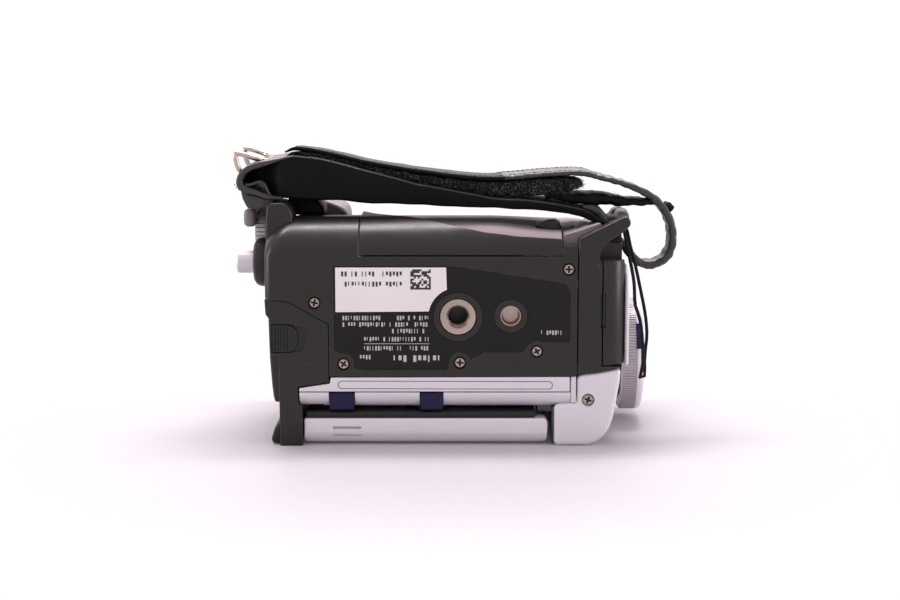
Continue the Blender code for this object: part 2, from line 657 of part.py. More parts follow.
def lens():
    centre = (LENS_Y, LENS_Z)
    turned("lens_ring", "X", centre, [(14.6, LENS_REAR_X), (LENS_RING_R - 0.5, LENS_REAR_X),
                                      (LENS_RING_R, 53.2), (LENS_RING_R, 57.4), (LENS_RING_R - 0.6, 57.8),
                                      (LENS_RING_R - 0.7, 59.2), (LENS_RING_R - 1.6, LENS_FRONT_X),
                                      (15.2, LENS_FRONT_X - 0.4)], "silver_paint", 40)
    glass = [(9.0, 53.4), (9.0, 55.0), (7.0, 55.8), (4.0, 56.4), (0.0, 56.6), (0.0, 53.4)]
    turned("lens_glass_front", "X", centre, glass, "lens_glass", 32)
    block = turned("lens_block", "X", centre, [(9.3, 54.8), (13.6, 58.2), (13.6, 37.0), (6.0, 36.0), (6.0, 8.4),
                                               (4.6, 8.4), (4.6, 36.8), (9.3, 38.6)], "black_plastic", 32)
    join(block, box("sensor_board", (4.0, 38.5, 14.9), (9.0, 53.5, 28.0)))


# ---------------------------------------------------------------- rear: battery, viewfinder, controls

def battery(holder):
    outline = [(-41.4, 13.2), (-54.6, 13.2), (-56.6, 16.5), (-57.6, 21.0), (-58.0, 27.0), (-58.2, 38.0),
               (-58.0, 43.0), (-57.0, 44.2), (-41.4, 44.2)]
    pack = prism("battery_pack", outline, "Y", 3.2, 45.0, "casing_grey", 0.8, 1, parent=holder)
    box("battery_terminal_plate", (-38.9, 7.5, 14.9), (-37.6, 44.0, 44.0), "black_plastic")
    return pack


def battery_release(holder):
    outline = [(-57.0, 29.1), (-51.0, 29.1), *arc((-51.6, 33.25), (3.0, 4.1), -70, 70, 6), (-51.0, 37.4),
               (-57.0, 37.4)]
    return prism("battery_release_slider", outline, "Y", -0.6, 1.1, "black_plastic", 0.3, 1, parent=holder)


def viewfinder(holder):
    sleeve = box("viewfinder_sleeve", (-54.4, 47.0, 15.4), (-36.0, 72.0, 43.5), "silver_paint", 0.8, 1)
    cut(sleeve, box("sleeve_bore", (-60, 49.2, 17.3), (-30, 70.4, 41.5)))
    tube = box("viewfinder_tube", (-55.6, 49.7, 17.8), (-24, 69.9, 41.0), "black_plastic", 2.5, 2,
               parent=holder)
    cut(tube, cylinder("tube_bore", "X", (60.7, 29.2), -70, -30, 7.4))
    cup = prism("eyecup", [*arc((60.7, 29.2), (11.6, 12.6), 0, 345, 23)], "X", -60.4, -55.9, "rubber", 1.4,
                parent=holder)
    cut(cup, cylinder("cup_bore", "X", (60.7, 29.2), -70, -50, 8.2))
    cylinder("eyepiece_lens", "X", (60.7, 29.2), -57.0, -54.0, 7.1, "lens_glass", parent=holder, edge=0.5)
    return sleeve


def rear_controls(dial_axis, record_axis, stick_axis):
    turned("record_button_ring", "X", RECORD, [(4.0, -63.5), (5.6, -63.5), (7.2, -62.4), (RECORD_RING_R, -61.0),
                                               (RECORD_RING_R, -59.0), (4.0, -59.0)], "black_plastic")
    button = cylinder("record_button", "X", RECORD, -69.0, -60.4, RECORD_R, "silver_paint", edge=0.7,
                      parent=record_axis)
    join(button, cylinder("record_stem", "X", RECORD, -61.0, -56.0, 1.8))
    dial = cylinder("mode_dial", "X", DIAL, -63.4, -59.6, DIAL_R, "silver_paint", 32, edge=0.5,
                    parent=dial_axis)
    join(dial, cylinder("dial_shaft", "X", DIAL, -60.0, -56.0, 1.8))
    stick = cylinder("joystick", "X", JOYSTICK, -61.8, -59.4, 4.2, "black_plastic", edge=0.9,
                     parent=stick_axis)
    join(stick, cylinder("joystick_stem", "X", JOYSTICK, -60.0, -56.2, 2.0))


def top_controls(zoom_axis, photo_axis):
    pivot_x, pivot_z = ZOOM_PIVOT
    lever = cylinder("zoom_lever", "Y", ZOOM_PIVOT, TOP_Y + GAP, TOP_Y + 3.0, 6.4, "silver_paint", edge=0.8,
                     parent=zoom_axis)
    finger = box("zoom_finger", (pivot_x - 2, TOP_Y + GAP, pivot_z + 2), (pivot_x + 2, TOP_Y + 3.6, 63.0),
                 edge=0.7)
    join(lever, finger, cylinder("zoom_post", "Y", ZOOM_PIVOT, 72.0, TOP_Y + 1, 1.9))
    cylinder("photo_button", "Y", PHOTO, 74.2, TOP_Y + 1.6, 3.4, "silver_paint", edge=0.6,
             parent=photo_axis)
    box("microphone_grille", (24.3, 73.2, 30.3), (43.7, TOP_Y + 0.2, 41.7), "black_plastic", 0.6, 1)


def side_buttons(holders):
    for name, x in SIDE_BUTTONS.items():
        cylinder(name, "Z", (x, SIDE_BUTTON_Y), 12.1, 15.6, 2.4, "black_plastic", 16, 0.4,
                 parent=holders[name])


# ---------------------------------------------------------------- fasteners and fittings

def fittings():
    for name, place in SCREWS.items():
        screw = cylinder(name, "Y", place, 0.15, 1.1, SCREW_R, "nickel", 12, 0.25)
        join(screw, cylinder(name + "_shank", "Y", place, 0.8, 2.9, 0.8, sides=8))
    turned("tripod_socket", "Y", SOCKET, [(3.8, 0.0), (SOCKET_R - 0.3, 0.0), (SOCKET_R, 0.3), (SOCKET_R, 8.4),
                                          (THREAD_R, 8.4), (THREAD_R, 0.9)], "nickel", 32)
    turned("pin_hole_cup", "Y", PIN_HOLE, [(PIN_R - 0.4, 0.3), (PIN_R, 0.3), (PIN_R, 5.4), (0.0, 5.4),
                                           (0.0, 4.8), (PIN_R - 0.4, 4.8)], "nickel", 24)


def jacks(cover_axis):
    block = box("terminal_block", (44.2, 3.4, 26.0), (BAND_FRONT_X, 8.6, 56.6), "black_plastic")
    for number, z in enumerate((31.0, 40.5, 50.0)):
        cut(block, cylinder(f"socket_{number}", "Y", (47.3, z), 2, 7.5, 2.2, sides=16))
    cover = box("jack_cover", (44.1, 0.1, 25.4), (BAND_FRONT_X, 1.9, 56.8), "casing_grey", 0.5, 1,
                parent=cover_axis)
    return cut(cover, box("nail_slot", (43.5, -1, 36.6), (44.7, 0.8, 46.9)))


# ---------------------------------------------------------------- strap and cord

def strap():
    lug = box("rear_strap_lug", (-66.6, 15, 65.2), (-64.4, 46.0, 77.0), "casing_grey", 0.8, 1)
    join(lug, box("lug_bracket", (-66.6, 43.5, 65.2), (REAR_X - GAP, 48.0, 70.0), edge=0.8, segments=1))
    pad = [(-67.6, 71.4), (-68.3, 74.3), (-69.2, 77.7), (-69.3, 80.4), (-68.2, 82.8), (-65.7, 84.4),
           (-60.5, 86.0), (-54.6, 88.2), (-49.6, 88.4), (-40.4, 85.0), (-26.2, 80.2), (-7.4, 77.1),
           (10.3, 74.9), (27.0, 73.7), (36.0, 72.0), (36.0, 70.0), (26.7, 70.9), (10.1, 71.9),
           (-7.3, 72.5), (-26.0, 73.1), (-36.1, 74.2), (-56.0, 74.4), (-60.0, 72.6), (-63.0, 71.4)]
    cut(prism("strap_pad", pad, "Y", 11.0, 41.0, "strap_leather", 0.8, 1),
        box("sleeve_slot", (-66.9, 8, 68), (-64.1, 49, 77.6)))
    tape = [(-48.7, 88.8), (-40.4, 87.1), (-26.2, 83.6), (-11.7, 81.4), (0.7, 79.9), (10.3, 79.1),
            (26.9, 80.3), (38.4, 80.5), (38.4, 77.4), (27.0, 76.3), (10.3, 75.7), (0.7, 76.9),
            (-11.7, 78.5), (-26.2, 80.9), (-40.4, 85.9)]
    prism("strap_hook_tape", tape, "Y", 17.4, 37.6, "hook_fabric")
    ribbon("strap_band", [(-54.4, 89.7), (-49.6, 89.9), (-40.4, 88.3), (-33.3, 86.4), (-26.2, 84.8),
                          (-11.7, 82.6), (0.7, 81.2), (10.2, 80.3), (19.2, 80.9), (26.9, 81.7), (37.7, 82.2),
                          (43.9, 80.9), (52.9, 78.6), (59.5, 75.5), (63.2, 72.1), (65.5, 68.7), (66.8, 63.7),
                          (66.5, 59.7), (64.1, 56.5), (60.4, 55.0), (56.0, 55.3), (53.2, 56.8), (50.7, 60.0),
                          (49.1, 62.5), (46.3, 65.9), (42.8, 68.4), (37.4, 70.9)], 1.6, 17.0, 38.0,
           "strap_leather", 44)
    tongue = [(37.2, 75.4), (44.2, 75.0), (53.6, 74.3), (58.9, 74.0), (58.9, 71.9), (53.6, 71.8),
              (44.3, 72.2), (37.2, 72.6)]
    prism("strap_tongue", tongue, "Y", 18.0, 37.0, "strap_leather")


def buckle():
    """The bent wire loop that holds the strap's rear end."""
    near, far = 14.0, 40.0
    side = [(-67.9, 85.2), (-68.9, 89.2), (-67.8, 89.7), (-57.6, 88.3)]
    loop = [(x, near, z) for x, z in side] + [(x, far, z) for x, z in side[::-1]]
    wire("strap_buckle", loop, 0.6, "chrome_wire", closed=True)


CORD_ROUTE = [
    (51.4, 13.6, 64.6), (52.3, 13.4, 60.0), (53.3, 13.0, 55.2), (54.5, 12.8, 48.6), (54.9, 12.6, 42.0),
    (56.5, 12.6, 37.0), (57.3, 12.6, 30.4), (57.6, 12.8, 23.5), (57.5, 13.2, 20.4), (57.8, 14.0, 18.6),
    (58.5, 14.6, 19.6), (58.2, 14.6, 23.8), (58.6, 14.6, 28.5), (58.9, 14.6, 32.3), (58.3, 14.6, 38.5),
    (56.7, 14.8, 46.4), (55.1, 15.0, 53.6), (53.4, 15.4, 60.0), (52.6, 15.4, 64.4),
]


def cord():
    wire("wrist_cord", CORD_ROUTE, 0.55, "cord_fabric", 44)


# ---------------------------------------------------------------- the camcorder

def build():
    holes = screw_holes()
    main_casing(holes)
    underside_plate(holes)
    top_cover()
    side_shell()
    side_trim()
    navy_insert()
    front_housing(holes)
    front_band()
    front_panel()
    rear_cover()
    grip_front_plate()

    cassette_door(empty("door_axis", DOOR_HINGE, FRAME))
    tape_drive()
    eject_lever(empty("lever_axis", (26.0, 16.0, 66.0), FRAME))
    screen_panel(empty("screen_axis", SCREEN_HINGE, FRAME))
    lens()

    battery(empty("battery_axis", (-50.0, 24.0, 28.0), FRAME))
    battery_release(empty("release_axis", (-54.0, 0.0, 32.5), FRAME))
    viewfinder(empty("viewfinder_axis", (-40.0, 60.7, 29.2), FRAME))
    rear_controls(empty("dial_axis", (-61.5, *DIAL), FRAME), empty("record_axis", (-64.0, *RECORD), FRAME),
                  empty("joystick_axis", (-60.5, *JOYSTICK), FRAME))
    top_controls(empty("zoom_axis", (ZOOM_PIVOT[0], TOP_Y, ZOOM_PIVOT[1]), FRAME),
                 empty("photo_axis", (PHOTO[0], TOP_Y, PHOTO[1]), FRAME))
    side_buttons({name: empty(name + "_axis", (x, SIDE_BUTTON_Y, 13.0), FRAME)
                  for name, x in SIDE_BUTTONS.items()})
    fittings()
    jacks(empty("jack_cover_axis", (49.5, 1.0, 41.0), FRAME))
    strap()
    buckle()
    cord()


build()
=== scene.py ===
"""Looks of the compact tape camcorder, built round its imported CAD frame.

Lengths in the calls below are millimetres in the CAD's drawing frame: x = 0 and z up from the
resting surface at the tripod socket's axis, y = 0 on the underside. at() turns them into metres.
"""

import json
import math
import random

import bmesh
import bpy
from mathutils import Matrix, Vector, noise


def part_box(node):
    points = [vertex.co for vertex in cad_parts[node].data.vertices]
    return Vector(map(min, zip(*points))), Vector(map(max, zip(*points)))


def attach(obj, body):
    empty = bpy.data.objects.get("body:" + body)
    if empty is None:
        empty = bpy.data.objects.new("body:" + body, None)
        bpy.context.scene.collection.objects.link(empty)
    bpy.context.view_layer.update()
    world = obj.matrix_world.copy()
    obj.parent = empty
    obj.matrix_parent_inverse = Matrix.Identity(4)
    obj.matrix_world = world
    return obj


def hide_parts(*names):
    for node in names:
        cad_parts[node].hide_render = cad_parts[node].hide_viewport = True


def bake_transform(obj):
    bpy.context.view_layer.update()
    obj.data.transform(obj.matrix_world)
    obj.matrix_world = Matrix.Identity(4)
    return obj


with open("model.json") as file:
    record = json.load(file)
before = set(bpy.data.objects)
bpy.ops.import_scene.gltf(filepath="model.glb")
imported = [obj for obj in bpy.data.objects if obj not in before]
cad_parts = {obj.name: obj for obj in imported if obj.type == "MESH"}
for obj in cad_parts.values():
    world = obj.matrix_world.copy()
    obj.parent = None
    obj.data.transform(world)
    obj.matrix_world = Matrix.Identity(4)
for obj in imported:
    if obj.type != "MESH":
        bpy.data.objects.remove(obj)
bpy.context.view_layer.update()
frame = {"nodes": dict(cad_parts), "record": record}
NODES = frame["nodes"]

MM = 0.001
socket_low, socket_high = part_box("tripod_socket")
ORIGIN = Vector(((socket_low.x + socket_high.x) / 2, socket_low.y, 0.0))


def at(x, y, z):
    return ORIGIN + Vector((x, y, z)) * MM


def linked(name, data):
    thing = bpy.data.objects.new(name, data)
    bpy.context.scene.collection.objects.link(thing)
    return thing


# ------------------------------------------------------------------ camera, light and floor

CAMERA_PLACE = (-2.424, -553.833, 122.938)
CAMERA_PITCH = 82.0
LENS_MM, SENSOR_MM = 73.92, 36.0
ROOM_TINT = (1.0, 0.965, 1.0, 1.0)
ROOM_LIGHT, ROOM_SEEN = 0.77, 1.06  # how brightly the white room lights the object, and how it is seen
LAMP_TINT = (1.0, 0.92, 0.945)


def camera():
    data = bpy.data.cameras.new("camera")
    data.lens = LENS_MM
    data.sensor_width = SENSOR_MM
    data.clip_start = 0.01
    view = linked("camera", data)
    view.location = at(*CAMERA_PLACE)
    view.rotation_euler = (math.radians(CAMERA_PITCH), 0.0, 0.0)
    bpy.context.scene.camera = view


def softbox(name, place, target, size, power):
    data = bpy.data.lights.new(name, "AREA")
    data.shape = "RECTANGLE"
    data.size, data.size_y = size[0] * MM, size[1] * MM
    data.energy = power
    data.color = LAMP_TINT
    light = linked(name, data)
    light.location = at(*place)
    light.rotation_euler = (at(*target) - at(*place)).to_track_quat("-Z", "Y").to_euler()


def studio():
    scene = bpy.context.scene
    scene.view_settings.view_transform = "Standard"
    world = bpy.data.worlds.new("studio")
    scene.world = world
    world.use_nodes = True
    background = world.node_tree.nodes["Background"]
    background.inputs["Color"].default_value = ROOM_TINT
    seen = world.node_tree.nodes.new("ShaderNodeLightPath").outputs["Is Camera Ray"]
    strength = world.node_tree.nodes.new("ShaderNodeMapRange")
    world.node_tree.links.new(seen, strength.inputs[0])
    strength.inputs[3].default_value, strength.inputs[4].default_value = ROOM_LIGHT, ROOM_SEEN
    world.node_tree.links.new(strength.outputs[0], background.inputs["Strength"])
    softbox("overhead", (-30, 130, 520), (0, 20, 60), (440, 110), 3.3)
    softbox("behind", (20, 420, 330), (0, 30, 60), (460, 120), 1.25)
    softbox("left_fill", (-500, -60, 150), (0, 20, 40), (160, 260), 0.8)
    softbox("right_fill", (500, -60, 150), (0, 20, 40), (160, 260), 0.95)
    bm = bmesh.new()
    bmesh.ops.create_grid(bm, x_segments=2, y_segments=2, size=4.0)
    floor = raw_object("floor", bm)
    floor.data.materials.append(floor_look())


# ------------------------------------------------------------------ materials

class Tree:
    """A material's node tree, with short calls to add and join its nodes."""

    def __init__(self, name):
        self.material = bpy.data.materials.new(name)
        self.material.use_nodes = True
        self.nodes = self.material.node_tree.nodes
        self.links = self.material.node_tree.links
        self.shader = self.nodes["Principled BSDF"]
        self.place = self.nodes.new("ShaderNodeTexCoord").outputs["Object"]

    def add(self, kind, settings=None, **inputs):
        node = self.nodes.new(kind)
        for key, value in (settings or {}).items():
            setattr(node, key, value)
        for key, value in inputs.items():
            numbered = key[0] == "i" and key[1:].isdigit()
            self.feed(node.inputs[int(key[1:]) if numbered else key.replace("_", " ")], value)
        return node

    def feed(self, socket, value):
        if isinstance(value, bpy.types.NodeSocket):
            self.links.new(value, socket)
        else:
            socket.default_value = value

    def noise(self, scale, detail=3.0, roughness=0.5):
        return self.add("ShaderNodeTexNoise", Vector=self.place, Scale=scale, Detail=detail,
            Roughness=roughness).outputs["Fac"]

    def ramp(self, value, low, high, to_low=0.0, to_high=1.0):
        return self.add("ShaderNodeMapRange", i0=value, i1=low, i2=high, i3=to_low, i4=to_high).outputs[0]

    def mix(self, share, first, second):
        node = self.add("ShaderNodeMix", {"data_type": "RGBA"}, i0=share)
        for index, colour in ((6, first), (7, second)):
            self.feed(node.inputs[index], (*colour, 1.0) if isinstance(colour, tuple) else colour)
        return node.outputs[2]

    def times(self, a, b):
        return self.add("ShaderNodeMath", {"operation": "MULTIPLY"}, i0=a, i1=b).outputs[0]

    def edges(self, radius, low=0.9, high=0.995):
        """One on edges, zero on open faces: rubbed wear on hard parts, painted highlight on leather edges.
        """
        bevel = self.add("ShaderNodeBevel", {"samples": 4}, Radius=radius * MM).outputs[0]
        normal = self.add("ShaderNodeNewGeometry").outputs["Normal"]
        same = self.add("ShaderNodeVectorMath", {"operation": "DOT_PRODUCT"}, i0=bevel,
            i1=normal).outputs["Value"]
        return self.ramp(same, high, low)

    def bump(self, height, strength, distance=0.1):
        return self.add("ShaderNodeBump", Height=height, Strength=strength,
            Distance=distance * MM).outputs[0]

    def set(self, **inputs):
        for key, value in inputs.items():
            self.feed(self.shader.inputs[key.replace("_", " ")], value)


LOOKS = {}


def shade(colour, factor):
    return tuple(min(channel * factor, 1.0) for channel in colour)


def surface(name, colour, roughness, metallic=0.0, blotch=0.08, flake=0.0, flake_scale=2600.0, grain=0.06,
        grain_scale=1800.0, wear=None, wear_width=0.35, coat=0.0, gloss=0.5):
    """Painted, moulded or plated: soft colour variation, flakes, fine grain and rubbed edges."""
    tree = Tree(name)
    LOOKS[name] = tree.material
    cloud = tree.noise(55.0, 4.0)
    tone = tree.mix(tree.ramp(cloud, 0.3, 0.7), shade(colour, 1 - blotch), shade(colour, 1 + blotch))
    if flake:
        fleck = tree.ramp(tree.noise(flake_scale, 1.0), 0.58, 0.72, 0.0, flake)
        tone = tree.mix(fleck, tone, shade(colour, 3.2))
    if wear is not None:
        rub = tree.times(tree.edges(wear_width), tree.ramp(tree.noise(420.0, 5.0), 0.42, 0.62, 0.15, 0.9))
        tone = tree.mix(rub, tone, wear)
    height = tree.noise(grain_scale, 2.0)
    tree.set(Base_Color=tone, Metallic=metallic, Specular_IOR_Level=gloss,
        Roughness=tree.ramp(tree.noise(160.0, 4.0), 0.3, 0.7, roughness - 0.05, roughness + 0.06),
        Normal=tree.bump(height, grain))
    if coat:
        tree.set(Coat_Weight=coat, Coat_Roughness=0.08)


def leather_look(name, colour, roughness=0.5, gloss=0.28):
    """Grained leather: cells with creases between them, broken by a larger wrinkle."""
    tree = Tree(name)
    LOOKS[name] = tree.material
    cell = tree.add("ShaderNodeTexVoronoi", {"feature": "DISTANCE_TO_EDGE"}, Vector=tree.place,
        Scale=1100.0).outputs["Distance"]
    grain = tree.ramp(cell, 0.0, 0.35)
    wrinkle = tree.noise(300.0, 5.0, 0.6)
    height = tree.add("ShaderNodeMath", {"operation": "ADD"}, i0=grain, i1=wrinkle).outputs[0]
    tone = tree.mix(tree.ramp(tree.noise(90.0, 4.0), 0.3, 0.7), shade(colour, 0.8), shade(colour, 1.3))
    # Edges painted three times lighter: a painted highlight along the leather's crests and rims.
    tone = tree.mix(tree.times(tree.edges(0.5), 0.5), tone, shade(colour, 3.0))
    tree.set(Base_Color=tone, Roughness=tree.ramp(wrinkle, 0.3, 0.7, roughness - 0.08, roughness + 0.1),
        Specular_IOR_Level=gloss, Normal=tree.bump(height, 0.35, 0.12))


def cloth_look(name, colour, scale=1500.0, specks=0.0):
    """Matt fibres: dark with paler strands."""
    tree = Tree(name)
    LOOKS[name] = tree.material
    strands = tree.noise(scale, 4.0, 0.7)
    tone = tree.mix(tree.ramp(strands, 0.5, 0.75), colour, shade(colour, 2.4))
    speck = tree.ramp(tree.noise(scale * 2.4, 0.0), 0.68, 0.72, 0.0, specks)
    tone = tree.mix(speck, tone, (0.35, 0.34, 0.35))
    tree.set(Base_Color=tone, Roughness=0.85, Specular_IOR_Level=0.25, Sheen_Weight=0.08,
        Sheen_Roughness=0.4, Normal=tree.bump(strands, 0.7, 0.3))


def board_look(name):
    """Green lacquer with darker component blocks."""
    tree = Tree(name)
    LOOKS[name] = tree.material
    cells = tree.add("ShaderNodeTexVoronoi", {"distance": "CHEBYCHEV"}, Vector=tree.place, Scale=260.0)
    tone = tree.mix(tree.ramp(cells.outputs["Distance"], 0.25, 0.3), (0.03, 0.03, 0.035),
        (0.015, 0.12, 0.05))
    tree.set(Base_Color=tone, Roughness=0.4, Normal=tree.bump(cells.outputs["Distance"], 0.5, 0.3))


def floor_look():
    """Pale table top, a little see-through, that fades out into the white room away from the object."""
    tree = Tree("table_top")
    tone = tree.mix(tree.ramp(tree.noise(3.0, 2.0), 0.3, 0.7), (0.49, 0.465, 0.49), (0.51, 0.485, 0.51))
    gone = tree.add("ShaderNodeVectorMath", {"operation": "LENGTH"}, i0=tree.place).outputs["Value"]
    tree.set(Base_Color=tone, Roughness=0.55, Specular_IOR_Level=0.2,
        Alpha=tree.ramp(gone, 0.085, 0.17, 0.97, 0.0))
    return tree.material


surface("casing_grey", (0.021, 0.0172, 0.0162), 0.33, 0.2, flake=0.1, grain=0.14, gloss=0.45,
    wear=(0.07, 0.062, 0.06))
surface("charcoal_plate", (0.0125, 0.0108, 0.0108), 0.55, flake=0.03, grain=0.12, gloss=0.2,
    wear=(0.03, 0.027, 0.027))
surface("silver_paint", (0.74, 0.695, 0.745), 0.34, 0.1, blotch=0.02, flake=0.04, grain=0.03,
    wear=(0.80, 0.75, 0.80))
surface("grip_grey", (0.20, 0.165, 0.175), 0.40, 0.15, blotch=0.04, flake=0.08, grain=0.06,
    wear=(0.36, 0.33, 0.35))
surface("palm_grey", (0.26, 0.22, 0.23), 0.7, 0.05, blotch=0.04, flake=0.06, grain=0.06, gloss=0.15)
# A lighter grey that paints light onto parts in the casing's own colour: the hump and the mode dial's core.
surface("painted_light_grey", (0.17, 0.145, 0.145), 0.4, 0.15, flake=0.08, grain=0.1)
surface("lug_grey", (0.048, 0.04, 0.042), 0.45, 0.1, flake=0.08, grain=0.1, gloss=0.25)
surface("post_grey", (0.21, 0.175, 0.18), 0.42, grain=0.1, wear=(0.2, 0.18, 0.18))
surface("lens_metal", (0.55, 0.495, 0.52), 0.38, 0.3, blotch=0.04, flake=0.05, grain=0.08,
    wear=(0.5, 0.46, 0.49))
surface("black_plastic", (0.014, 0.013, 0.016), 0.45, grain=0.12, gloss=0.35, wear=(0.04, 0.04, 0.045))
surface("screen_frame_grey", (0.013, 0.012, 0.013), 0.45, grain=0.1, gloss=0.35, wear=(0.08, 0.075, 0.08))
surface("screen_black", (0.006, 0.006, 0.008), 0.12, blotch=0.02, grain=0.0, coat=0.6)
surface("navy_plastic", (0.010, 0.0065, 0.045), 0.33, grain=0.04, gloss=0.25, wear=(0.02, 0.016, 0.07))
surface("rubber", (0.016, 0.016, 0.016), 0.75, grain=0.25, grain_scale=1200.0)
surface("label_white", (0.88, 0.82, 0.81), 0.6, blotch=0.03, grain=0.05)
surface("print_white", (0.52, 0.50, 0.50), 0.6, blotch=0.05)
surface("print_black", (0.03, 0.03, 0.03), 0.6, blotch=0.2)
# Dark floor for grooves: painted shade in the recess.
surface("groove_painted_shade", (0.09, 0.08, 0.10), 0.6)
surface("nickel", (0.50, 0.40, 0.355), 0.34, 1.0, blotch=0.1, grain=0.12, grain_scale=900.0,
    wear=(0.62, 0.53, 0.48))
# Dark floor for the screw crosses: painted shade in the recess.
surface("screw_cross_painted_shade", (0.02, 0.014, 0.011), 0.6, 0.4)
surface("chrome_wire", (0.58, 0.51, 0.44), 0.2, 1.0, blotch=0.06, grain=0.05)
surface("chassis_steel", (0.50, 0.50, 0.49), 0.35, 1.0, grain=0.1, grain_scale=700.0,
    wear=(0.65, 0.65, 0.64))
surface("lens_glass", (0.012, 0.006, 0.03), 0.05, blotch=0.3, grain=0.0, coat=1.0)
leather_look("strap_leather", (0.0042, 0.0039, 0.0042), 0.46, 0.12)
# A lighter, glossier copy of the strap leather: its lightness is painted highlight on the loop, curl and
# trim.
leather_look("painted_highlight_leather", (0.028, 0.024, 0.0255), 0.4, 0.6)
cloth_look("hook_fabric", (0.005, 0.0048, 0.0055), specks=0.6)
cloth_look("cord_fabric", (0.007, 0.007, 0.009), 2600.0)
cloth_look("lint", (0.35, 0.33, 0.33), 900.0)
cloth_look("thread", (0.05, 0.047, 0.05), 3000.0)
board_look("board_green")


# ------------------------------------------------------------------ shapes

def new_object(name, mesh, place=(0, 0, 0), rotation=None):
    shape = linked(name, mesh)
    shape.location = at(*place)
    if rotation is not None:
        shape.rotation_euler = rotation.to_euler()
    return shape


def mesh_of(name, bm):
    mesh = bpy.data.meshes.new(name)
    bm.to_mesh(mesh)
    bm.free()
    return mesh


def raw_object(name, bm):
    """An object whose points are in metres in the frame already."""
    return linked(name, mesh_of(name, bm))


def bevelled(shape, width, segments=3, angle=35.0):
    if width > 0:
        bevel = shape.modifiers.new("rounded", "BEVEL")
        bevel.width = width * MM
        bevel.segments = segments
        bevel.limit_method = "ANGLE"
        bevel.angle_limit = math.radians(angle)
        bevel.use_clamp_overlap = True
    return shape


def box(name, low, high, edge=0.0, segments=3):
    low, high = Vector(low), Vector(high)
    bm = bmesh.new()
    bmesh.ops.create_cube(bm, size=1.0)
    bmesh.ops.scale(bm, vec=(high - low) * MM, verts=bm.verts)
    return bevelled(new_object(name, mesh_of(name, bm), (low + high) / 2), edge, segments)


AXES = {"X": Matrix(((0, 0, 1), (1, 0, 0), (0, 1, 0))), "Y": Matrix(((1, 0, 0), (0, 0, -1), (0, 1, 0))),
    "Z": Matrix.Identity(3),}


def along(axis, first, second, distance):
    return {"X": (distance, first, second), "Y": (first, distance, second),
        "Z": (first, second, distance)}[axis]


def cylinder(name, axis, centre, low, high, radius, sides=48, edge=0.0):
    bm = bmesh.new()
    bmesh.ops.create_cone(bm, cap_ends=True, segments=sides, radius1=radius * MM, radius2=radius * MM,
        depth=(high - low) * MM)
    shape = new_object(name, mesh_of(name, bm), along(axis, *centre, (low + high) / 2), AXES[axis])
    return bevelled(shape, edge)


def arc(centre, radii, start, end, count):
    points = []
    for step in range(count + 1):
        angle = math.radians(start + (end - start) * step / count)
        points.append((centre[0] + radii[0] * math.cos(angle), centre[1] + radii[1] * math.sin(angle)))
    return points


def prism(name, outline, axis, low, high, edge=0.0, segments=3, holes=()):
    """A flat outline extruded along an axis. Across X it is (y, z), across Y (x, z), across Z (x, y)."""
    curve = bpy.data.curves.new(name, "CURVE")
    curve.dimensions = "2D"
    curve.fill_mode = "BOTH"
    curve.extrude = (high - low) / 2 * MM
    for loop in (outline, *holes):
        spline = curve.splines.new("POLY")
        spline.points.add(len(loop) - 1)
        for point, (first, second) in zip(spline.points, loop):
            point.co = (first * MM, second * MM, 0.0, 1.0)
        spline.use_cyclic_u = True
    drawing = linked(name + "_outline", curve)
    mesh = bpy.data.meshes.new_from_object(drawing)
    bpy.data.objects.remove(drawing, do_unlink=True)
    bpy.data.curves.remove(curve)
    bm = bmesh.new()
    bm.from_mesh(mesh)
    bpy.data.meshes.remove(mesh)
    bmesh.ops.remove_doubles(bm, verts=bm.verts, dist=0.00001)
    bmesh.ops.dissolve_limit(bm, angle_limit=math.radians(0.5), verts=bm.verts, edges=bm.edges)
    bmesh.ops.recalc_face_normals(bm, faces=bm.faces)
    shape = new_object(name, mesh_of(name, bm), along(axis, 0.0, 0.0, (low + high) / 2), AXES[axis])
    return bevelled(shape, edge, segments)


def turned(name, axis, centre, profile, sides=64):
    """A closed ring turned about an axis: profile is (radius, distance along the axis)."""
    bm = bmesh.new()
    corners = [bm.verts.new((radius * MM, 0.0, distance * MM)) for radius, distance in profile]
    edges = [bm.edges.new(pair) for pair in zip(corners, corners[1:] + corners[:1])]
    bmesh.ops.spin(bm, geom=corners + edges, cent=(0, 0, 0), axis=(0, 0, 1), angle=math.tau, steps=sides,
        use_merge=True)
    bmesh.ops.remove_doubles(bm, verts=bm.verts, dist=0.000001)
    bmesh.ops.delete(bm, geom=[edge for edge in bm.edges if not edge.link_faces], context="EDGES")
    bmesh.ops.recalc_face_normals(bm, faces=bm.faces)
    rotation = AXES[axis]
    if axis == "Y":
        rotation = rotation @ Matrix.Rotation(math.pi, 3, "X")
    return new_object(name, mesh_of(name, bm), along(axis, *centre, 0.0), rotation)


def settle(shape):
    """Apply the modifiers, so that the mesh is final, in the row's frame."""
    bpy.context.view_layer.update()
    graph = bpy.context.evaluated_depsgraph_get()
    mesh = bpy.data.meshes.new_from_object(shape.evaluated_get(graph))
    mesh.transform(shape.matrix_world)
    shape.modifiers.clear()
    shape.data = mesh
    shape.matrix_world = Matrix.Identity(4)
    return shape


def combine(shape, tools, operation):
    for tool in tools:
        modifier = shape.modifiers.new("cut", "BOOLEAN")
        modifier.operation = operation
        modifier.object = tool
        modifier.solver = "EXACT"
    settle(shape)
    for tool in tools:
        bpy.data.objects.remove(tool, do_unlink=True)
    return shape


def cut(shape, *tools):
    return combine(shape, tools, "DIFFERENCE")


def join(shape, *tools):
    return combine(shape, tools, "UNION")


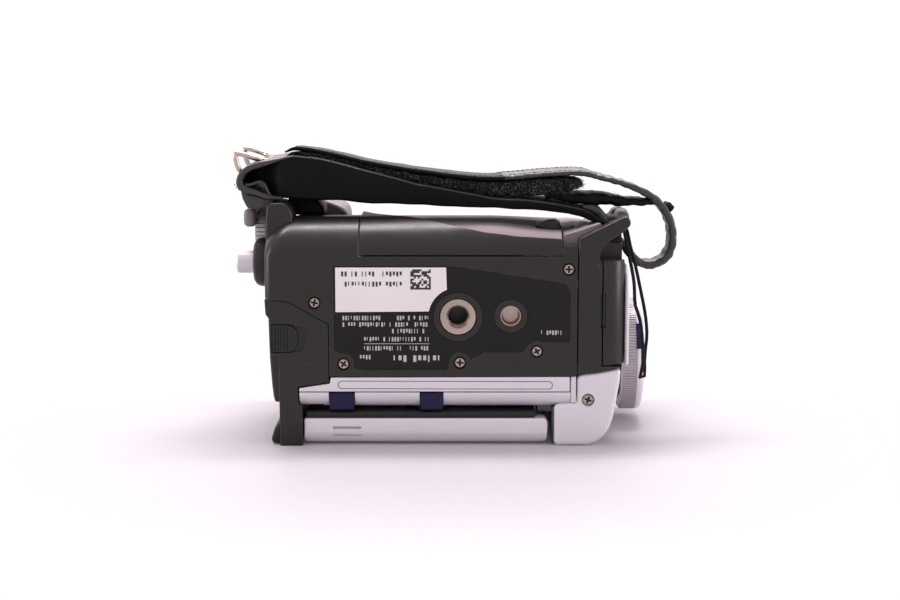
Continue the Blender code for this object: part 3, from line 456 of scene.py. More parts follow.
def show(shape, body, look, node=None, sharp=30.0):
    """Make a finished shape a piece of the object: it rides on a body and may replace a CAD node."""
    settle(shape)
    mesh = shape.data
    mesh.materials.clear()
    mesh.materials.append(LOOKS[look])
    mesh.shade_smooth()
    mesh.set_sharp_from_angle(angle=math.radians(sharp))
    if body is not None:
        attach(shape, body)
    if node:
        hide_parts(node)


def loft(name, rings):
    """A skin through rings of points in drawing millimetres; every ring has the same count."""
    bm = bmesh.new()
    rows = [[bm.verts.new(at(*point)) for point in ring] for ring in rings]
    count = len(rings[0])
    for first, second in zip(rows, rows[1:]):
        for index in range(count):
            after = (index + 1) % count
            bm.faces.new((first[index], first[after], second[after], second[index]))
    bm.faces.new(rows[0][::-1])
    bm.faces.new(rows[-1])
    bmesh.ops.recalc_face_normals(bm, faces=bm.faces)
    return raw_object(name, bm)


def smooth_path(route, count):
    """Points at even steps on a smooth curve through the route's points, of any dimension."""
    points = [Vector(p) for p in route]
    padded = [2 * points[0] - points[1], *points, 2 * points[-1] - points[-2]]
    dense = []
    for a, b, c, d in zip(padded, padded[1:], padded[2:], padded[3:]):
        for step in range(12):
            t = step / 12
            dense.append(0.5 * ((2 * b) + (c - a) * t + (2 * a - 5 * b + 4 * c - d) * t ** 2
                + (3 * b - a - 3 * c + d) * t ** 3))
    dense.append(points[-1])
    lengths = [0.0]
    for a, b in zip(dense, dense[1:]):
        lengths.append(lengths[-1] + (b - a).length)
    even, index = [], 0
    for step in range(count):
        want = lengths[-1] * step / (count - 1)
        while index < len(dense) - 2 and lengths[index + 1] < want:
            index += 1
        length = lengths[index + 1] - lengths[index]
        even.append(dense[index].lerp(dense[index + 1], (want - lengths[index]) / length))
    return even


def wire(name, points, radius, look, body, node, closed=False):
    """A round wire or cord through points."""
    curve = bpy.data.curves.new(name, "CURVE")
    curve.dimensions = "3D"
    curve.bevel_depth = radius * MM
    curve.bevel_resolution = 4 if closed else 2
    curve.use_fill_caps = not closed
    spline = curve.splines.new("POLY")
    spline.points.add(len(points) - 1)
    for knot, point in zip(spline.points, points):
        knot.co = (*at(*point), 1.0)
    spline.use_cyclic_u = closed
    curve.materials.append(LOOKS[look])
    piece = linked(name, curve)
    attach(piece, body)
    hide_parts(node)
    return piece


# ------------------------------------------------------------------ cord

CORD_ROUTE = [(50.4, 13.8, 66.3), (51.4, 13.6, 64.2), (52.3, 13.4, 60.0), (53.3, 13.0, 55.2),
    (54.5, 12.8, 48.6), (54.9, 12.6, 42.0), (56.5, 12.6, 37.0), (57.3, 12.6, 30.4), (57.6, 12.8, 23.5),
    (57.2, 13.0, 20.9), (56.7, 13.4, 19.4), (57.2, 14.0, 18.4), (58.4, 14.6, 19.2), (58.3, 14.6, 23.8),
    (58.6, 14.6, 28.5), (58.9, 14.6, 32.3), (58.3, 14.6, 38.5), (56.7, 14.8, 46.4), (55.1, 15.0, 53.6),
    (53.4, 15.4, 60.0), (52.4, 15.5, 64.6), (51.2, 15.6, 66.6),]
CORD_RADIUS = 0.55


def cord():
    path = smooth_path(CORD_ROUTE, 44)
    piece = wire("wrist_cord_braid", path, CORD_RADIUS, "cord_fabric", "body", "wrist_cord")


# ------------------------------------------------------------------ casings

REAR_X, SEAM_X, BAND_FRONT_X, PANEL_FRONT_X = -58.7, 36.1, 50.4, 52.2
TOP_Y, LID_Y, GRIP_Z = 76.0, 70.0, 69.4
EDGE_Y, EDGE_Z = 13.0, 58.0
DARK_LOW_Z = 21.6
WALL = 2.0
GAP = 0.3
CORNER_R, CORNER_GROWTH = 2.8, 7.2  # the rounded rear corner low down, and its growth up to the grip edge
LENS_AXIS = (46.0, 21.0)
DOOR_AXIS = (66.3, 66.2)
DOOR_REAR_X, DOOR_FRONT_X, DOOR_SEAM_Z = -30.0, 31.7, 58.6
SOCKET, SOCKET_RIM_R = (0.0, 39.9), 7.4
PIN_HOLE, PIN_RIM_R = (16.0, 40.1), 5.0
SCREWS = {"screw_rear": (-43.5, 44.2, 12), "screw_low_rear": (-34.8, 25.4, 35),
    "screw_low_middle": (0.6, 25.8, 5), "screw_low_front": (24.0, 29.3, 62), "screw_front": (33.5, 54.4, 0),
    "screw_silver_corner": (39.7, 14.3, 20),}
REAR_SEAM = [(-58.7, 45.4), (-51.3, 44.4), (-39.3, 37.6)]


def grip_skin(depth, low_z, far_y, steps=20):
    """Skin line in (y, z): up the underside, over the rounded grip edge, along the grip side."""
    rounded = arc((EDGE_Y, EDGE_Z), (EDGE_Y - depth, GRIP_Z - EDGE_Z - depth), 180, 90, steps)
    return [(depth, low_z), *(point for point in rounded if point[1] > low_z + GAP),
        (far_y, GRIP_Z - depth)]


def grip_section(outside, inside, low_z, far_y):
    return grip_skin(outside, low_z, far_y) + grip_skin(inside, low_z, far_y)[::-1]


def disc(centre, radius, sides=48):
    return arc(centre, (radius, radius), 0, 360 - 360 / sides, sides - 1)


def grown(outline, distance):
    """The outline moved outward by a distance."""
    edges = list(zip(outline, outline[1:] + outline[:1]))
    turn = math.copysign(1.0, sum(a[0] * b[1] - b[0] * a[1] for a, b in edges))
    outward = []
    for a, b in edges:
        edge = (Vector(b) - Vector(a)).normalized()
        outward.append(Vector((edge.y, -edge.x)) * turn)
    moved = []
    for point, before, after in zip(outline, outward[-1:] + outward[:-1], outward):
        corner = (before + after).normalized()
        moved.append(tuple(Vector(point) + corner * distance / corner.dot(before)))
    return moved


def plate_outline():
    bump = 3.4
    low_left, low_mid, low_right = 23.6, 29.1, 32.2
    first, second, third = (SCREWS[n][:2] for n in ("screw_low_rear", "screw_low_middle",
        "screw_low_front"))
    left, right = -37.6, 34.0
    return [(left, 55.4), (left, first[1] + bump + 1.0), *arc(first, (bump, bump), 100, -20, 16),
        (-28.8, low_left), (second[0] - bump - 0.6, low_left), *arc(second, (bump, bump), 160, 20, 16),
        (8.0, low_mid), (third[0] - bump - 1.2, low_mid), *arc(third, (bump, bump), 150, 60, 12),
        (right, low_right), (right, 45.5), *arc((right - 3.6, 46.7), (3.6, 3.6), 5, 80, 12), (0.0, 55.2),]


def rear_cover_outline():
    return [*REAR_SEAM, (-39.3, 19.6), (-48.8, 18.3), (-48.8, 13.0), (-47.4, 12.0), (-47.4, 0.0),
        (-54.4, 0.0), (-54.6, 27.7), (-57.0, 28.2), (-57.2, 39.0), (-58.4, 40.6),]


def screw_seats():
    return [cylinder(name + "_seat", "Y", place[:2], -1.0, 1.6, 2.0, 32) for name, place in SCREWS.items()]


def main_casing():
    def inset(distance, turn):
        """How far the rounded rear corner pulls the skin in; its radius grows up the grip edge."""
        radius = CORNER_R + CORNER_GROWTH * min(max(turn / 70, 0.0), 1.0)
        return radius - math.sqrt(radius ** 2 - max(radius - distance, 0.0) ** 2)

    def ring(distance):
        points = [(inset(distance, 0), DARK_LOW_Z), (inset(distance, 0), 45.0)]
        for step in range(21):
            turn = 90.0 * step / 20
            depth = inset(distance, turn)
            points += arc((EDGE_Y, EDGE_Z), (EDGE_Y - depth, GRIP_Z - EDGE_Z - depth), 180 - turn,
                180 - turn, 1)[:1]
        points += [(24.0, GRIP_Z - inset(distance, 90) - 0.7), (LID_Y, GRIP_Z - inset(distance, 90) - 6.6),
            (LID_Y, DARK_LOW_Z)]
        return [(REAR_X + distance, y, z) for y, z in points]

    reach = CORNER_R + CORNER_GROWTH
    casing = loft("casing_shell",
        [ring(reach * (1 - math.cos(math.radians(90 * step / 18)))) for step in range(19)]
        + [ring(distance) for distance in (27.6, 27.9, SEAM_X - REAR_X)])
    inside = prism("casing_hollow", grip_skin(WALL, DARK_LOW_Z - 5, LID_Y + 5)
        + [(LID_Y + 5, DARK_LOW_Z - 5)], "X", REAR_X + 8, SEAM_X + 5)
    fin = prism("strap_fin", [(-50.4, 58.0), (-50.6, 70.0), (-51.2, 72.2), (-52.4, 73.5), (-54.0, 73.9),
        (-57.2, 73.8), (-58.2, 73.0), (-58.5, 71.0), (-58.7, 65.0), (-58.7, 58.0)], "Y", 7.2, 24.0, 0.9, 4)
    cut(casing, inside)
    join(casing, fin)
    # The hump belongs to the casing; its lighter grey is painted light for the light falling on its top.
    hump = prism("grip_hump", [(-51.5, 60), (-51.5, 73.2), (-48.0, 73.0), (-45.0, 72.3), (-41.5, 71.4),
        (-38.5, 70.2), (-36.6, 69.0), (-35.4, 67.6), (-35.0, 60)], "Y", 43, 66, 1.4, 5)
    show(hump, "body", "painted_light_grey")
    join(casing, cylinder("socket_boss", "Y", SOCKET, 0.1, 9.5, SOCKET_RIM_R, 64),
        cylinder("pin_boss", "Y", PIN_HOLE, 0.1, 7.0, PIN_RIM_R, 48))
    recess = prism("plate_recess", grown(plate_outline(), 0.08), "Y", -1.0, 0.9,
        holes=(disc(SOCKET, SOCKET_RIM_R), disc(PIN_HOLE, PIN_RIM_R)))
    cut(casing, recess, box("viewfinder_gap", (REAR_X - 5, 46, 10), (REAR_X + 9, 80, 46)))
    cut(casing, box("door_opening", (DOOR_REAR_X - GAP, -5, DOOR_SEAM_Z - GAP),
        (DOOR_FRONT_X + GAP, 67.8, 90)))
    cut(casing, box("front_grip_opening", (DOOR_FRONT_X - 1, -5, 61.4), (SEAM_X + 5, LID_Y + 5, 90)))
    seam = grown([(-70, 45.4), *REAR_SEAM, (-39.3, 10), (-70, 10)], 0.12)
    cut(casing, prism("rear_cover_opening", seam, "Y", -5, 60))
    join(casing, box("seam_ledge", (-57.4, 0.9, 44.8), (-50.5, 44.0, 47.0)))
    cut(casing, cylinder("socket_seat", "Y", SOCKET, -2, 8.8, 5.7, 64))
    cut(casing, cylinder("pin_bore", "Y", PIN_HOLE, -2, 5.8, 3.3, 48))
    cut(casing, *screw_seats())
    show(casing, "body", "casing_grey", "main_casing", sharp=28)


def underside_plate():
    plate = prism("plate_skin", plate_outline(), "Y", 0.05, 0.7, 0.12, 2,
        holes=(disc(SOCKET, SOCKET_RIM_R + 0.2, 64), disc(PIN_HOLE, PIN_RIM_R + 0.2)))
    show(plate, "body", "charcoal_plate", "underside_plate")


def rating_label():
    label = prism("label_film", [(-37.1, 55.0), *arc((-36.9, 41.6), (0.2, 0.2), 180, 270, 4),
        *arc(SOCKET, (9.0, 9.0), 169, 112, 12), (-3.6, 55.0)], "Y", -0.15, 0.1)
    show(label, "body", "label_white", "rating_label")
    label_marks = []
    for z in (52.3, 49.2):
        label_marks += strokes(-35.3, -16.5, z, 1.5, 0.62, 0.42, int(z))
    chooser = random.Random(7)
    cells, size = 11, 0.56
    for row in range(cells):
        for column in range(cells):
            border = row in (0, cells - 1) or column in (0, cells - 1)
            if chooser.random() < (0.75 if border else 0.5):
                label_marks.append((-14.4 + column * size, 48.3 + row * size, size, size))
    printed("label_marks", label_marks, -0.19, "print_black")


def plate_print():
    rows = [(-35.0, -23.2, 38.9), (-18.5, -8.6, 38.9), (-35.0, -8.6, 36.9), (-20.0, -8.6, 34.9),
        (-28.5, -8.6, 32.4), (-28.5, -16.6, 29.6), (-14.6, -8.6, 29.6), (24.4, 32.0, 34.4)]
    plate_marks = []
    for left, right, z in rows:
        plate_marks += strokes(left, right, z, 1.35, 0.5, 0.34, int(z * 3 + left))
    plate_marks += strokes(-19.6, -4.6, 26.1, 2.0, 0.95, 0.55, 3)
    plate_marks += strokes(-29.8, -26.2, 26.9, 1.3, 0.5, 0.4, 5)
    plate_marks.append((-28.5, 31.6, 19.9, 0.16))
    printed("plate_marks", plate_marks, -0.01, "print_white")


def strokes(left, right, z, height, width, space, seed):
    """A row of plain short bars of uneven height, with gaps as between words."""
    chooser = random.Random(seed)
    bars = []
    x = left
    while x + width < right:
        if chooser.random() < 0.13:
            x += width + space
            continue
        low = chooser.choice((0.0, 0.0, 0.25)) * height
        bars.append((x, z + low, width * chooser.choice((0.45, 1.0, 1.0)), height - low))
        x += width + space
    return bars


def printed(name, rects, y, look):
    """Thin ink on the underside: each mark is (x, z, width, height)."""
    bm = bmesh.new()
    for x, z, width, height in rects:
        centre = at(x + width / 2, y + 0.06, z + height / 2)
        matrix = Matrix.Translation(centre) @ Matrix.Diagonal((width * MM, 0.12 * MM, height * MM, 1.0))
        bmesh.ops.create_cube(bm, size=1.0, matrix=matrix)
    show(raw_object(name, bm), "body", look)


def top_cover():
    def skin(depth):
        return [(TOP_Y - depth, DARK_LOW_Z), (TOP_Y - depth, 58.0),
            *arc((LID_Y + GAP, 58.0), (TOP_Y - LID_Y - GAP - depth, 5.0 - depth), 0, 90, 16)]
    cover = prism("lid_shell", skin(0) + skin(WALL)[::-1], "X", REAR_X + 0.6, BAND_FRONT_X, 0.7, 3)
    cut(cover, cylinder("zoom_post_hole", "Y", (-44.0, 52.0), 70, 80, 2.3),
        cylinder("photo_hole", "Y", (-27, 53), 70, 80, 3.8),
        box("front_corner_clearance", (SEAM_X, 70, 15), (60, 80, 24.4)),
        box("grille_seat", (24, 70, 30), (44, 80, 42)))
    show(cover, "body", "silver_paint", "top_cover")


INSERTS = ((-39.2, -31.6), (-11.5, -4.6))


def side_wall():
    def skin(depth):
        return [*arc((7.0, 16.6), (7.0 - depth, 5.1 - depth), 180, 270, 16),
            *arc((TOP_Y - 6.2, 18.0), (6.0 - depth, 5.3 - depth), 270, 360, 12),
            (TOP_Y - 0.2 - depth, DARK_LOW_Z - GAP)]
    shell = prism("side_wall_shell", skin(0) + skin(1.8)[::-1], "X", -48.4, SEAM_X - 1.8, 0.5, 3)
    cut(shell, box("battery_clearance", (-50, 2.9, 5), (-41.1, 46, 30)),
        *(box(f"insert_seat_{n}", (low - 0.2, -2, 11), (high + 0.2, 5.3, 20)) for n,
        (low, high) in enumerate(INSERTS)), cylinder("button_hole", "Z", (-30.0, 64.0), 10, 16, 2.8))
    show(shell, "body", "silver_paint", "side_shell")


def trim_strip():
    outline = [(-48.4, 16.9), (-48.3, 17.9), (-39.0, 19.3), (-38.7, 21.2), (34.0, 21.4), (34.0, 16.9)]
    trim = prism("trim_strip", outline, "Y", -0.06, 3.0, 0.2, 3)
    pill = [*arc((-35.3, 19.0), (1.05, 1.05), 270, 90, 12), *arc((27.6, 18.85), (1.05, 1.05), 90, -90, 12)]
    cut(trim, prism("pill_groove", grown(pill, 0.24), "Y", -1.0, 0.5, holes=(pill,)))
    show(trim, "body", "silver_paint", "side_trim_strip")
    # A dark floor in the pill groove: painted shade in the recess.
    line = prism("pill_groove_shade_floor", grown(pill, 0.3), "Y", 0.3, 0.9, holes=(grown(pill, -0.06),))
    show(line, "body", "groove_painted_shade")


def navy_insert():
    pads = [box(f"pad_{n}", (low, 0.1, 11.2), (high, 5.0, 16.5), 0.5) for n,
        (low, high) in enumerate(INSERTS)]
    strip = box("insert_strip", (INSERTS[0][0] + 1, 4.5, 14.9), (INSERTS[1][1] - 1, 7.0, 16.2))
    show(join(strip, *pads), "body", "navy_plastic", "navy_insert")


def front_housing():
    outline = [(29.4, 12.8), (29.4, 1.6), *arc((31.0, 1.6), (1.6, 1.6), 180, 270, 6), (40.0, 0.1),
        (42.6, 1.2), (44.8, 3.0), (46.3, 5.4), (47.4, 8.6), (48.4, 14.4), (49.4, 20.0), (49.7, 24.0),
        (43.0, 22.7), (36.3, 21.9), (36.3, 13.4)]
    housing = prism("silver_corner", outline, "Y", 0.0, TOP_Y - 0.2, 1.5, 5)
    cut(housing, box("housing_hollow", (20, WALL, 2.0), (46.0, 73.8, 40)))
    cut(housing, cylinder("barrel_bore", "X", LENS_AXIS, 40, 60, 13.9, sides=64))
    cut(housing, cylinder("corner_screw_seat", "Y", SCREWS["screw_silver_corner"][:2], -1, 1.6, 2.0, 32),
        box("corner_part_line", (34.5, -1, 12.9), (34.7, 0.4, 25)))
    show(housing, "body", "silver_paint", "front_housing", sharp=40)
    end = box("corner_end_strip", (34.4, 0.3, 13.4), (36.0, 3.0, 21.5), 0.3)
    show(end, "body", "silver_paint")


def rear_cover():
    cover = prism("bay_cover", rear_cover_outline(), "Y", 0.0, 2.6, 0.45, 4)
    column = box("bay_column", (-54.2, 1.0, 0.0), (-47.6, 46.0, 12.5), 0.8)
    bulkhead = box("bay_bulkhead", (-41.0, 2.0, 19.8), (-39.3, 46.0, 37.0))
    claw = prism("foot_claw", [(-53.4, 8.2), (-55.0, 6.6), (-56.3, 4.9), (-56.9, 3.0), (-57.3, 1.5),
        (-56.8, 0.3), (-53.4, 0.1)], "Y", 2.4, 44.0, 0.6, 3)
    show(claw, "body", "black_plastic")
    join(cover, column, bulkhead)
    cut(cover, box("slider_seat", (-60, -1, 28.8), (-51.0, 1.4, 37.7)),
        prism("slider_run", [(-52.0, 28.8), *arc((-49.6, 33.25), (3.8, 4.45), -60, 60, 10), (-52.0, 37.7)],
        "Y", -1, 0.9, 0.0), cylinder("rear_screw_clearance", "Y", SCREWS["screw_rear"][:2], -1, 4, 2.0))
    show(cover, "body", "casing_grey", "rear_cover")
    arrow = prism("release_arrow", [(-50.4, 25.4), (-41.0, 25.4), (-41.0, 25.9), (-46.6, 25.9),
        (-48.4, 26.6)], "Y", -0.12, 0.1)
    show(arrow, "body", "casing_grey")


def battery_and_slider():
    outline = [(-41.4, 10.6), (-54.0, 10.6), (-55.8, 11.8), (-56.6, 14.6), (-57.0, 18.0), (-57.3, 22.0),
        (-57.6, 26.5), (-57.9, 38.0), (-57.8, 42.6), (-57.2, 44.0), (-41.4, 44.0)]
    pack = prism("battery_case", outline, "Y", 3.2, 45.0, 1.2, 4)
    cut(pack, box("cell_line_1", (-60, 15.0, 5), (-58.0, 15.3, 50)),
        box("cell_line_2", (-60, 30.0, 5), (-58.0, 30.3, 50)),
        box("bay_floor_relief", (-60, 2.9, 5), (-41.0, 46.5, 13.1)))
    show(pack, "battery", "casing_grey", "battery_pack")
    slider = prism("release_slider", [(-57.2, 29.1), (-51.4, 29.1),
        *arc((-51.6, 33.25), (2.9, 4.15), -70, 70, 14), (-51.4, 37.4), (-57.2, 37.4)], "Y", -0.6, 1.1, 0.35,
        3)
    ribs = [box(f"grip_groove_{n}", (-56.6 + 0.92 * n, -1.0, 29.6), (-56.2 + 0.92 * n, -0.1, 36.9))
        for n in range(6)]
    show(cut(slider, *ribs), "battery_release", "black_plastic", "battery_release_slider")


# ------------------------------------------------------------------ grip side and cassette door

def door_edge():
    return [(DOOR_REAR_X, 30.0), (-25.0, 20.5), (-17.8, 13.5), (-10.0, 8.4), (-2.4, 5.4), (7.9, 3.1),
        (18.2, 2.1), (DOOR_FRONT_X, 1.6)]


def cassette_door():
    near = prism("door_near_shell", grip_section(0, 3.4, DOOR_SEAM_Z, 36.0), "X", DOOR_REAR_X, DOOR_FRONT_X,
        0.45, 3)
    edge = door_edge()
    near_region = prism("near_region", [(DOOR_REAR_X - 5, -5), (DOOR_FRONT_X + 5, -5),
        (DOOR_FRONT_X + 5, edge[-1][1]), *edge[::-1], (DOOR_REAR_X - 5, edge[0][1])], "Z", 50, 90)
    combine(near, [near_region], "INTERSECT")
    show(near, "cassette_door", "casing_grey", "cassette_door", sharp=28)


def grip_plate():
    """The door's far part, sunk towards the front for the palm."""
    edge = door_edge()
    rings = []
    for step in range(31):
        x = DOOR_REAR_X + (DOOR_FRONT_X - DOOR_REAR_X) * step / 30
        sunk = min(max((x - 8.0) / 24.0, 0.0), 1.0)
        sunk = sunk * sunk * (3 - 2 * sunk)
        depth, crest = 2.2 + 2.0 * sunk, 67.2 - 0.7 * sunk
        ring = []
        for under in (0.0, 2.0):
            tall, wide = GRIP_Z - EDGE_Z - depth - under, EDGE_Y - depth - under
            start = math.degrees(math.asin(1.6 / tall))
            ring.append([*arc((EDGE_Y, EDGE_Z), (wide, tall), 180 - start, 90, 16),
                (25.0, (GRIP_Z - depth + crest) / 2 - under), (39.0, crest - under),
                (53.0, crest - 1.3 - under), (62.0, crest - 2.9 - under), (67.5, 62.9 - under)])
        rings.append([(x, y, z) for y, z in [*ring[0], *ring[1][::-1]]])
    plate = loft("grip_shell", rings)
    beyond = [(x, y + GAP) for x, y in edge]
    far_region = prism("far_region", [(DOOR_REAR_X - 5, 90), (DOOR_REAR_X - 5, beyond[0][1]), *beyond,
        (DOOR_FRONT_X + 5, beyond[-1][1]), (DOOR_FRONT_X + 5, 90)], "Z", 50, 90)
    combine(plate, [far_region], "INTERSECT")
    cut(plate, box("lever_slot", (24.0, 12.2, 60.0), (40.0, 19.8, 75.0)),
        cylinder("pin_bore", "X", DOOR_AXIS, -60, 60, 1.2, sides=24),
        prism("far_edge_relief", [(66.4, 68.7), (66.9, 67.5), (66.9, 65.0), (72, 65.0), (72, 75),
        (66.4, 75)], "X", -60, 60), box("palm_line", (14.0, 24.0, 65.4), (DOOR_FRONT_X + 1, 24.4, 75.0)))
    show(plate, "cassette_door", "palm_grey", "grip_plate", sharp=28)


def hinge_rod_and_lever():
    rod = cylinder("door_hinge_rod", "X", (65.4, 63.4), DOOR_REAR_X + 1, DOOR_FRONT_X - 1, 0.5, 24)
    show(rod, "body", "chassis_steel", "door_hinge_pin")
    lever = prism("eject_wedge", [(24.2, 66.5), (26.0, 67.2), (28.0, 67.8), (30.2, 68.0), (30.7, 67.7),
        (30.8, 64.4), (27.5, 64.4), (25.6, 65.7)], "Y", 12.6, 19.4, 0.4, 3)
    show(lever, "eject_lever", "black_plastic", "eject_lever")


def front_band():
    def skin(depth):
        return [(depth, 24.6), *arc((EDGE_Y, 54.0), (EDGE_Y - depth, 7.5 - depth), 180, 90, 16),
            (LID_Y, 61.5 - depth)]
    band = prism("band_shell", skin(0) + skin(WALL)[::-1], "X", SEAM_X + 0.25, BAND_FRONT_X, 0.6, 3)
    near = [(36.4, 50.0), (36.4, 63.7), (42.8, 66.9), (49.6, 70.2),
        *arc((50.2, 68.5), (1.9, 1.9), 80, -50, 8), (49.3, 65.2), (46.3, 63.3), (44.5, 61.8), (43.2, 59.9),
        (42.8, 57.6), (42.8, 50.0)]
    near_arm = prism("near_arm", near, "Y", 0.0, 5.4, 0.7, 4)
    far = [(36.4, 54.0), (36.4, 63.4), (44.1, 66.8), (48.8, 67.2), (49.8, 68.8), (51.1, 69.7), (52.6, 69.6),
        (54.8, 68.4), (55.6, 66.6), (55.2, 64.8), (52.0, 62.6), (46.6, 61.5), (43.0, 58.5), (42.0, 54.0)]
    far_arm = prism("far_arm", far, "Y", 40.0, 46.0, 0.9, 4)
    bar = loft("lug_top", [[(x, 4.6, z) for x, z in [(48.3, 67.8), (48.9, 69.4), (49.9, 70.1), (51.4, 69.7),
        (51.9, 68.3), (51.2, 66.8), (49.3, 65.6)]], [(x, 42.0, z) for x,
        z in [(50.2, 66.6), (50.6, 68.6), (51.6, 69.4), (54.2, 69.3), (55.5, 67.3), (54.9, 65.2),
        (50.5, 64.0)]]])
    foot = prism("band_foot", [(SEAM_X + 0.25, 22.15), (43.0, 23.0), (49.9, 24.3), (BAND_FRONT_X, 25.2),
        (SEAM_X + 0.25, 25.2)], "Y", 0.0, 14.0, 0.25, 2)
    scoop = prism("scoop", [(42.9, 57.0), (42.8, 58.4), (43.3, 59.9), (44.7, 61.7), (47.4, 63.6),
        (49.6, 64.8), (60, 64.8), (60, 57.0)], "Y", -1, 9.0)
    join(band, box("scoop_floor", (42.0, 1.9, 52.0), (50.3, 18.0, 60.8), 0.5))
    cut(band, scoop)
    join(band, near_arm, foot)
    bevelled(bar, 0.6, 3)
    show(bar, "body", "lug_grey")
    # A dark block set in the lug's strap slot: painted shade for the hole.
    slot = box("lug_slot_shade_block", (46.3, 12.0, 58.0), (50.4, 38.0, 67.8), 0.3)
    show(slot, "body", "hook_fabric")
    cut(band, box("nail_gap", (42.9, -1, 36.6), (44.0, 1.3, 46.9)))
    cut(band, box("jack_opening", (43.6, -3, 24.6), (BAND_FRONT_X + 2, 9.0, 57.6)))
    show(band, "body", "casing_grey", "front_band", sharp=32)
    cut(far_arm, box("far_arm_slit", (51.6, 39.0, 67.0), (51.9, 40.8, 72.0)))
    show(far_arm, "body", "lug_grey")


def grip_shoulder():
    """The web between the door and the front band, lower towards the far side."""
    web = [(5.6, [(32.2, 59.5), (32.2, 64.5), (36.0, 65.5), (40.0, 66.9), (43.4, 68.1), (44.0, 66.0),
        (43.0, 59.5)]), (34.0, [(32.2, 59.5), (32.2, 66.2), (36.0, 66.5), (39.0, 66.4), (42.5, 65.9),
        (44.0, 64.6), (43.0, 59.5)]),
        (54.0, [(32.2, 59.5), (32.2, 65.0), (36.0, 65.1), (39.0, 64.9), (41.6, 64.3), (42.8, 63.2),
        (43.0, 59.5)]), (69.5, [(32.2, 59.5), (32.2, 62.0), (36.0, 62.1), (39.0, 62.0), (41.0, 61.8),
        (42.0, 61.4), (43.0, 59.5)])]
    shoulder = loft("grip_shoulder", [[(x, y, z) for x, z in outline] for y, outline in web])
    bevelled(shoulder, 0.5, 3)
    cut(shoulder, box("lever_run", (30.0, 12.2, 63.0), (36.2, 19.8, 75.0)))
    show(shoulder, "body", "grip_grey", "grip_front_plate", sharp=50)


def jack_cover():
    profile = [(44.0, 0.05), (45.6, 0.12), (47.1, 0.5), (48.4, 1.2), (49.5, 2.2), (50.3, 3.3), (50.8, 4.6),
        (49.4, 4.6), (48.6, 3.4), (47.4, 2.6), (46.0, 2.1), (44.0, 2.0)]
    cover = prism("jack_door", profile, "Z", 24.9, 57.0, 0.3, 3)
    cut(cover, box("nail_slot", (43.4, -1, 36.6), (44.9, 1.3, 46.9)))
    show(cover, "jack_cover", "casing_grey", "jack_cover")


def face_panel():
    outline = [(3.2, 24.4), (TOP_Y - 0.8, 24.4), *arc((66.6, 46.5), (8.6, 8.0), 0, 90, 14),
        *arc((11.2, 46.5), (8.0, 8.0), 90, 180, 14)]
    panel = prism("face_panel", outline, "X", BAND_FRONT_X + 0.6, PANEL_FRONT_X, 0.6, 4)
    cut(panel, cylinder("lens_opening", "X", LENS_AXIS, 40, 60, 13.9, sides=64))
    show(panel, "body", "silver_paint", "front_panel")


# ------------------------------------------------------------------ screen and lens

SCREEN_HINGE = (23.55, 4.35)


def screen():
    outline = [*arc((-45.0, 2.3), (2.0, 2.0), 180, 270, 8), *arc((25.0, 2.6), (2.2, 2.3), 270, 360, 8),
        (27.4, 4.6), *arc((26.0, 7.0), (1.4, 1.4), 0, 90, 8), (-47.0, 8.4)]
    shell = prism("screen_cover", outline, "Y", 0.6, 57.0, 0.6, 4)
    curve = prism("cover_curve", [(0.6, 9.5), (0.6, 5.0), *arc((5.4, 4.9), (4.8, 4.6), 180, 270, 14),
        (60, 0.3), (60, 9.5)], "X", -60, 40)
    combine(shell, [curve], "INTERSECT")
    notch = box("hinge_notch", (18.4, 20, -5), (35, 38, 15))
    pocket = box("screen_pocket", (-45, 2.6, 2.2), (17.6, 55, 20))
    pin_bore = cylinder("screen_pin_bore", "Y", SCREEN_HINGE, 15, 43, 1.3, sides=24)
    cut(shell, notch, pocket, pin_bore)
    grooves = []
    for number, z in enumerate((5.6, 3.2)):
        slot = [*arc((-37.9, z), (0.4, 0.4), 270, 90, 6), *arc((-29.9, z), (0.4, 0.4), 90, -90, 6)]
        grooves.append(prism(f"speaker_slot_{number}", slot, "Y", -1, 2.0))
    cut(shell, *grooves, box("cover_part_line", (-46.0, -1, 3.22), (-38.6, 1.05, 3.36)),
        box("cover_part_line_2", (-29.2, -1, 3.22), (24.0, 1.05, 3.36)))
    show(shell, "screen", "silver_paint", "screen_back_shell", sharp=35)
    # Black sheets in the gap by the screen hinge: painted shadow, standing where the gap is only in shade.
    shadow_gap = box("hinge_side_shadow_sheet", (28.65, 2.0, 0.6), (29.7, 40.0, 11.8), 0.2)
    join(shadow_gap, box("hinge_top_shadow_sheet", (24.3, 5.0, 9.7), (29.3, 40.0, 12.4), 0.2))
    show(shadow_gap, "body", "screen_black")
    frame_ring = box("screen_bezel", (-46.6, 1.2, 8.5), (23.6, 56.4, 10.5), 0.7, 4)
    cut(frame_ring, box("hinge_notch_2", (18.4, 20, -5), (35, 38, 15)),
        box("screen_window", (-38.3, 9.7, 5), (13.3, 48.3, 20)))
    show(frame_ring, "screen", "screen_frame_grey", "screen_inner_frame")


def ridged(name, centre, radius, depth, teeth, low, high, fill=0.5):
    """A wheel across X with square ribs round its rim."""
    outline = []
    for tooth in range(teeth):
        for part, reach in ((0.0, radius), (fill, radius), (fill + 0.04, radius - depth),
                (0.96, radius - depth)):
            angle = math.tau * (tooth + part) / teeth
            outline.append((centre[0] + reach * math.cos(angle), centre[1] + reach * math.sin(angle)))
    return prism(name, outline, "X", low, high)


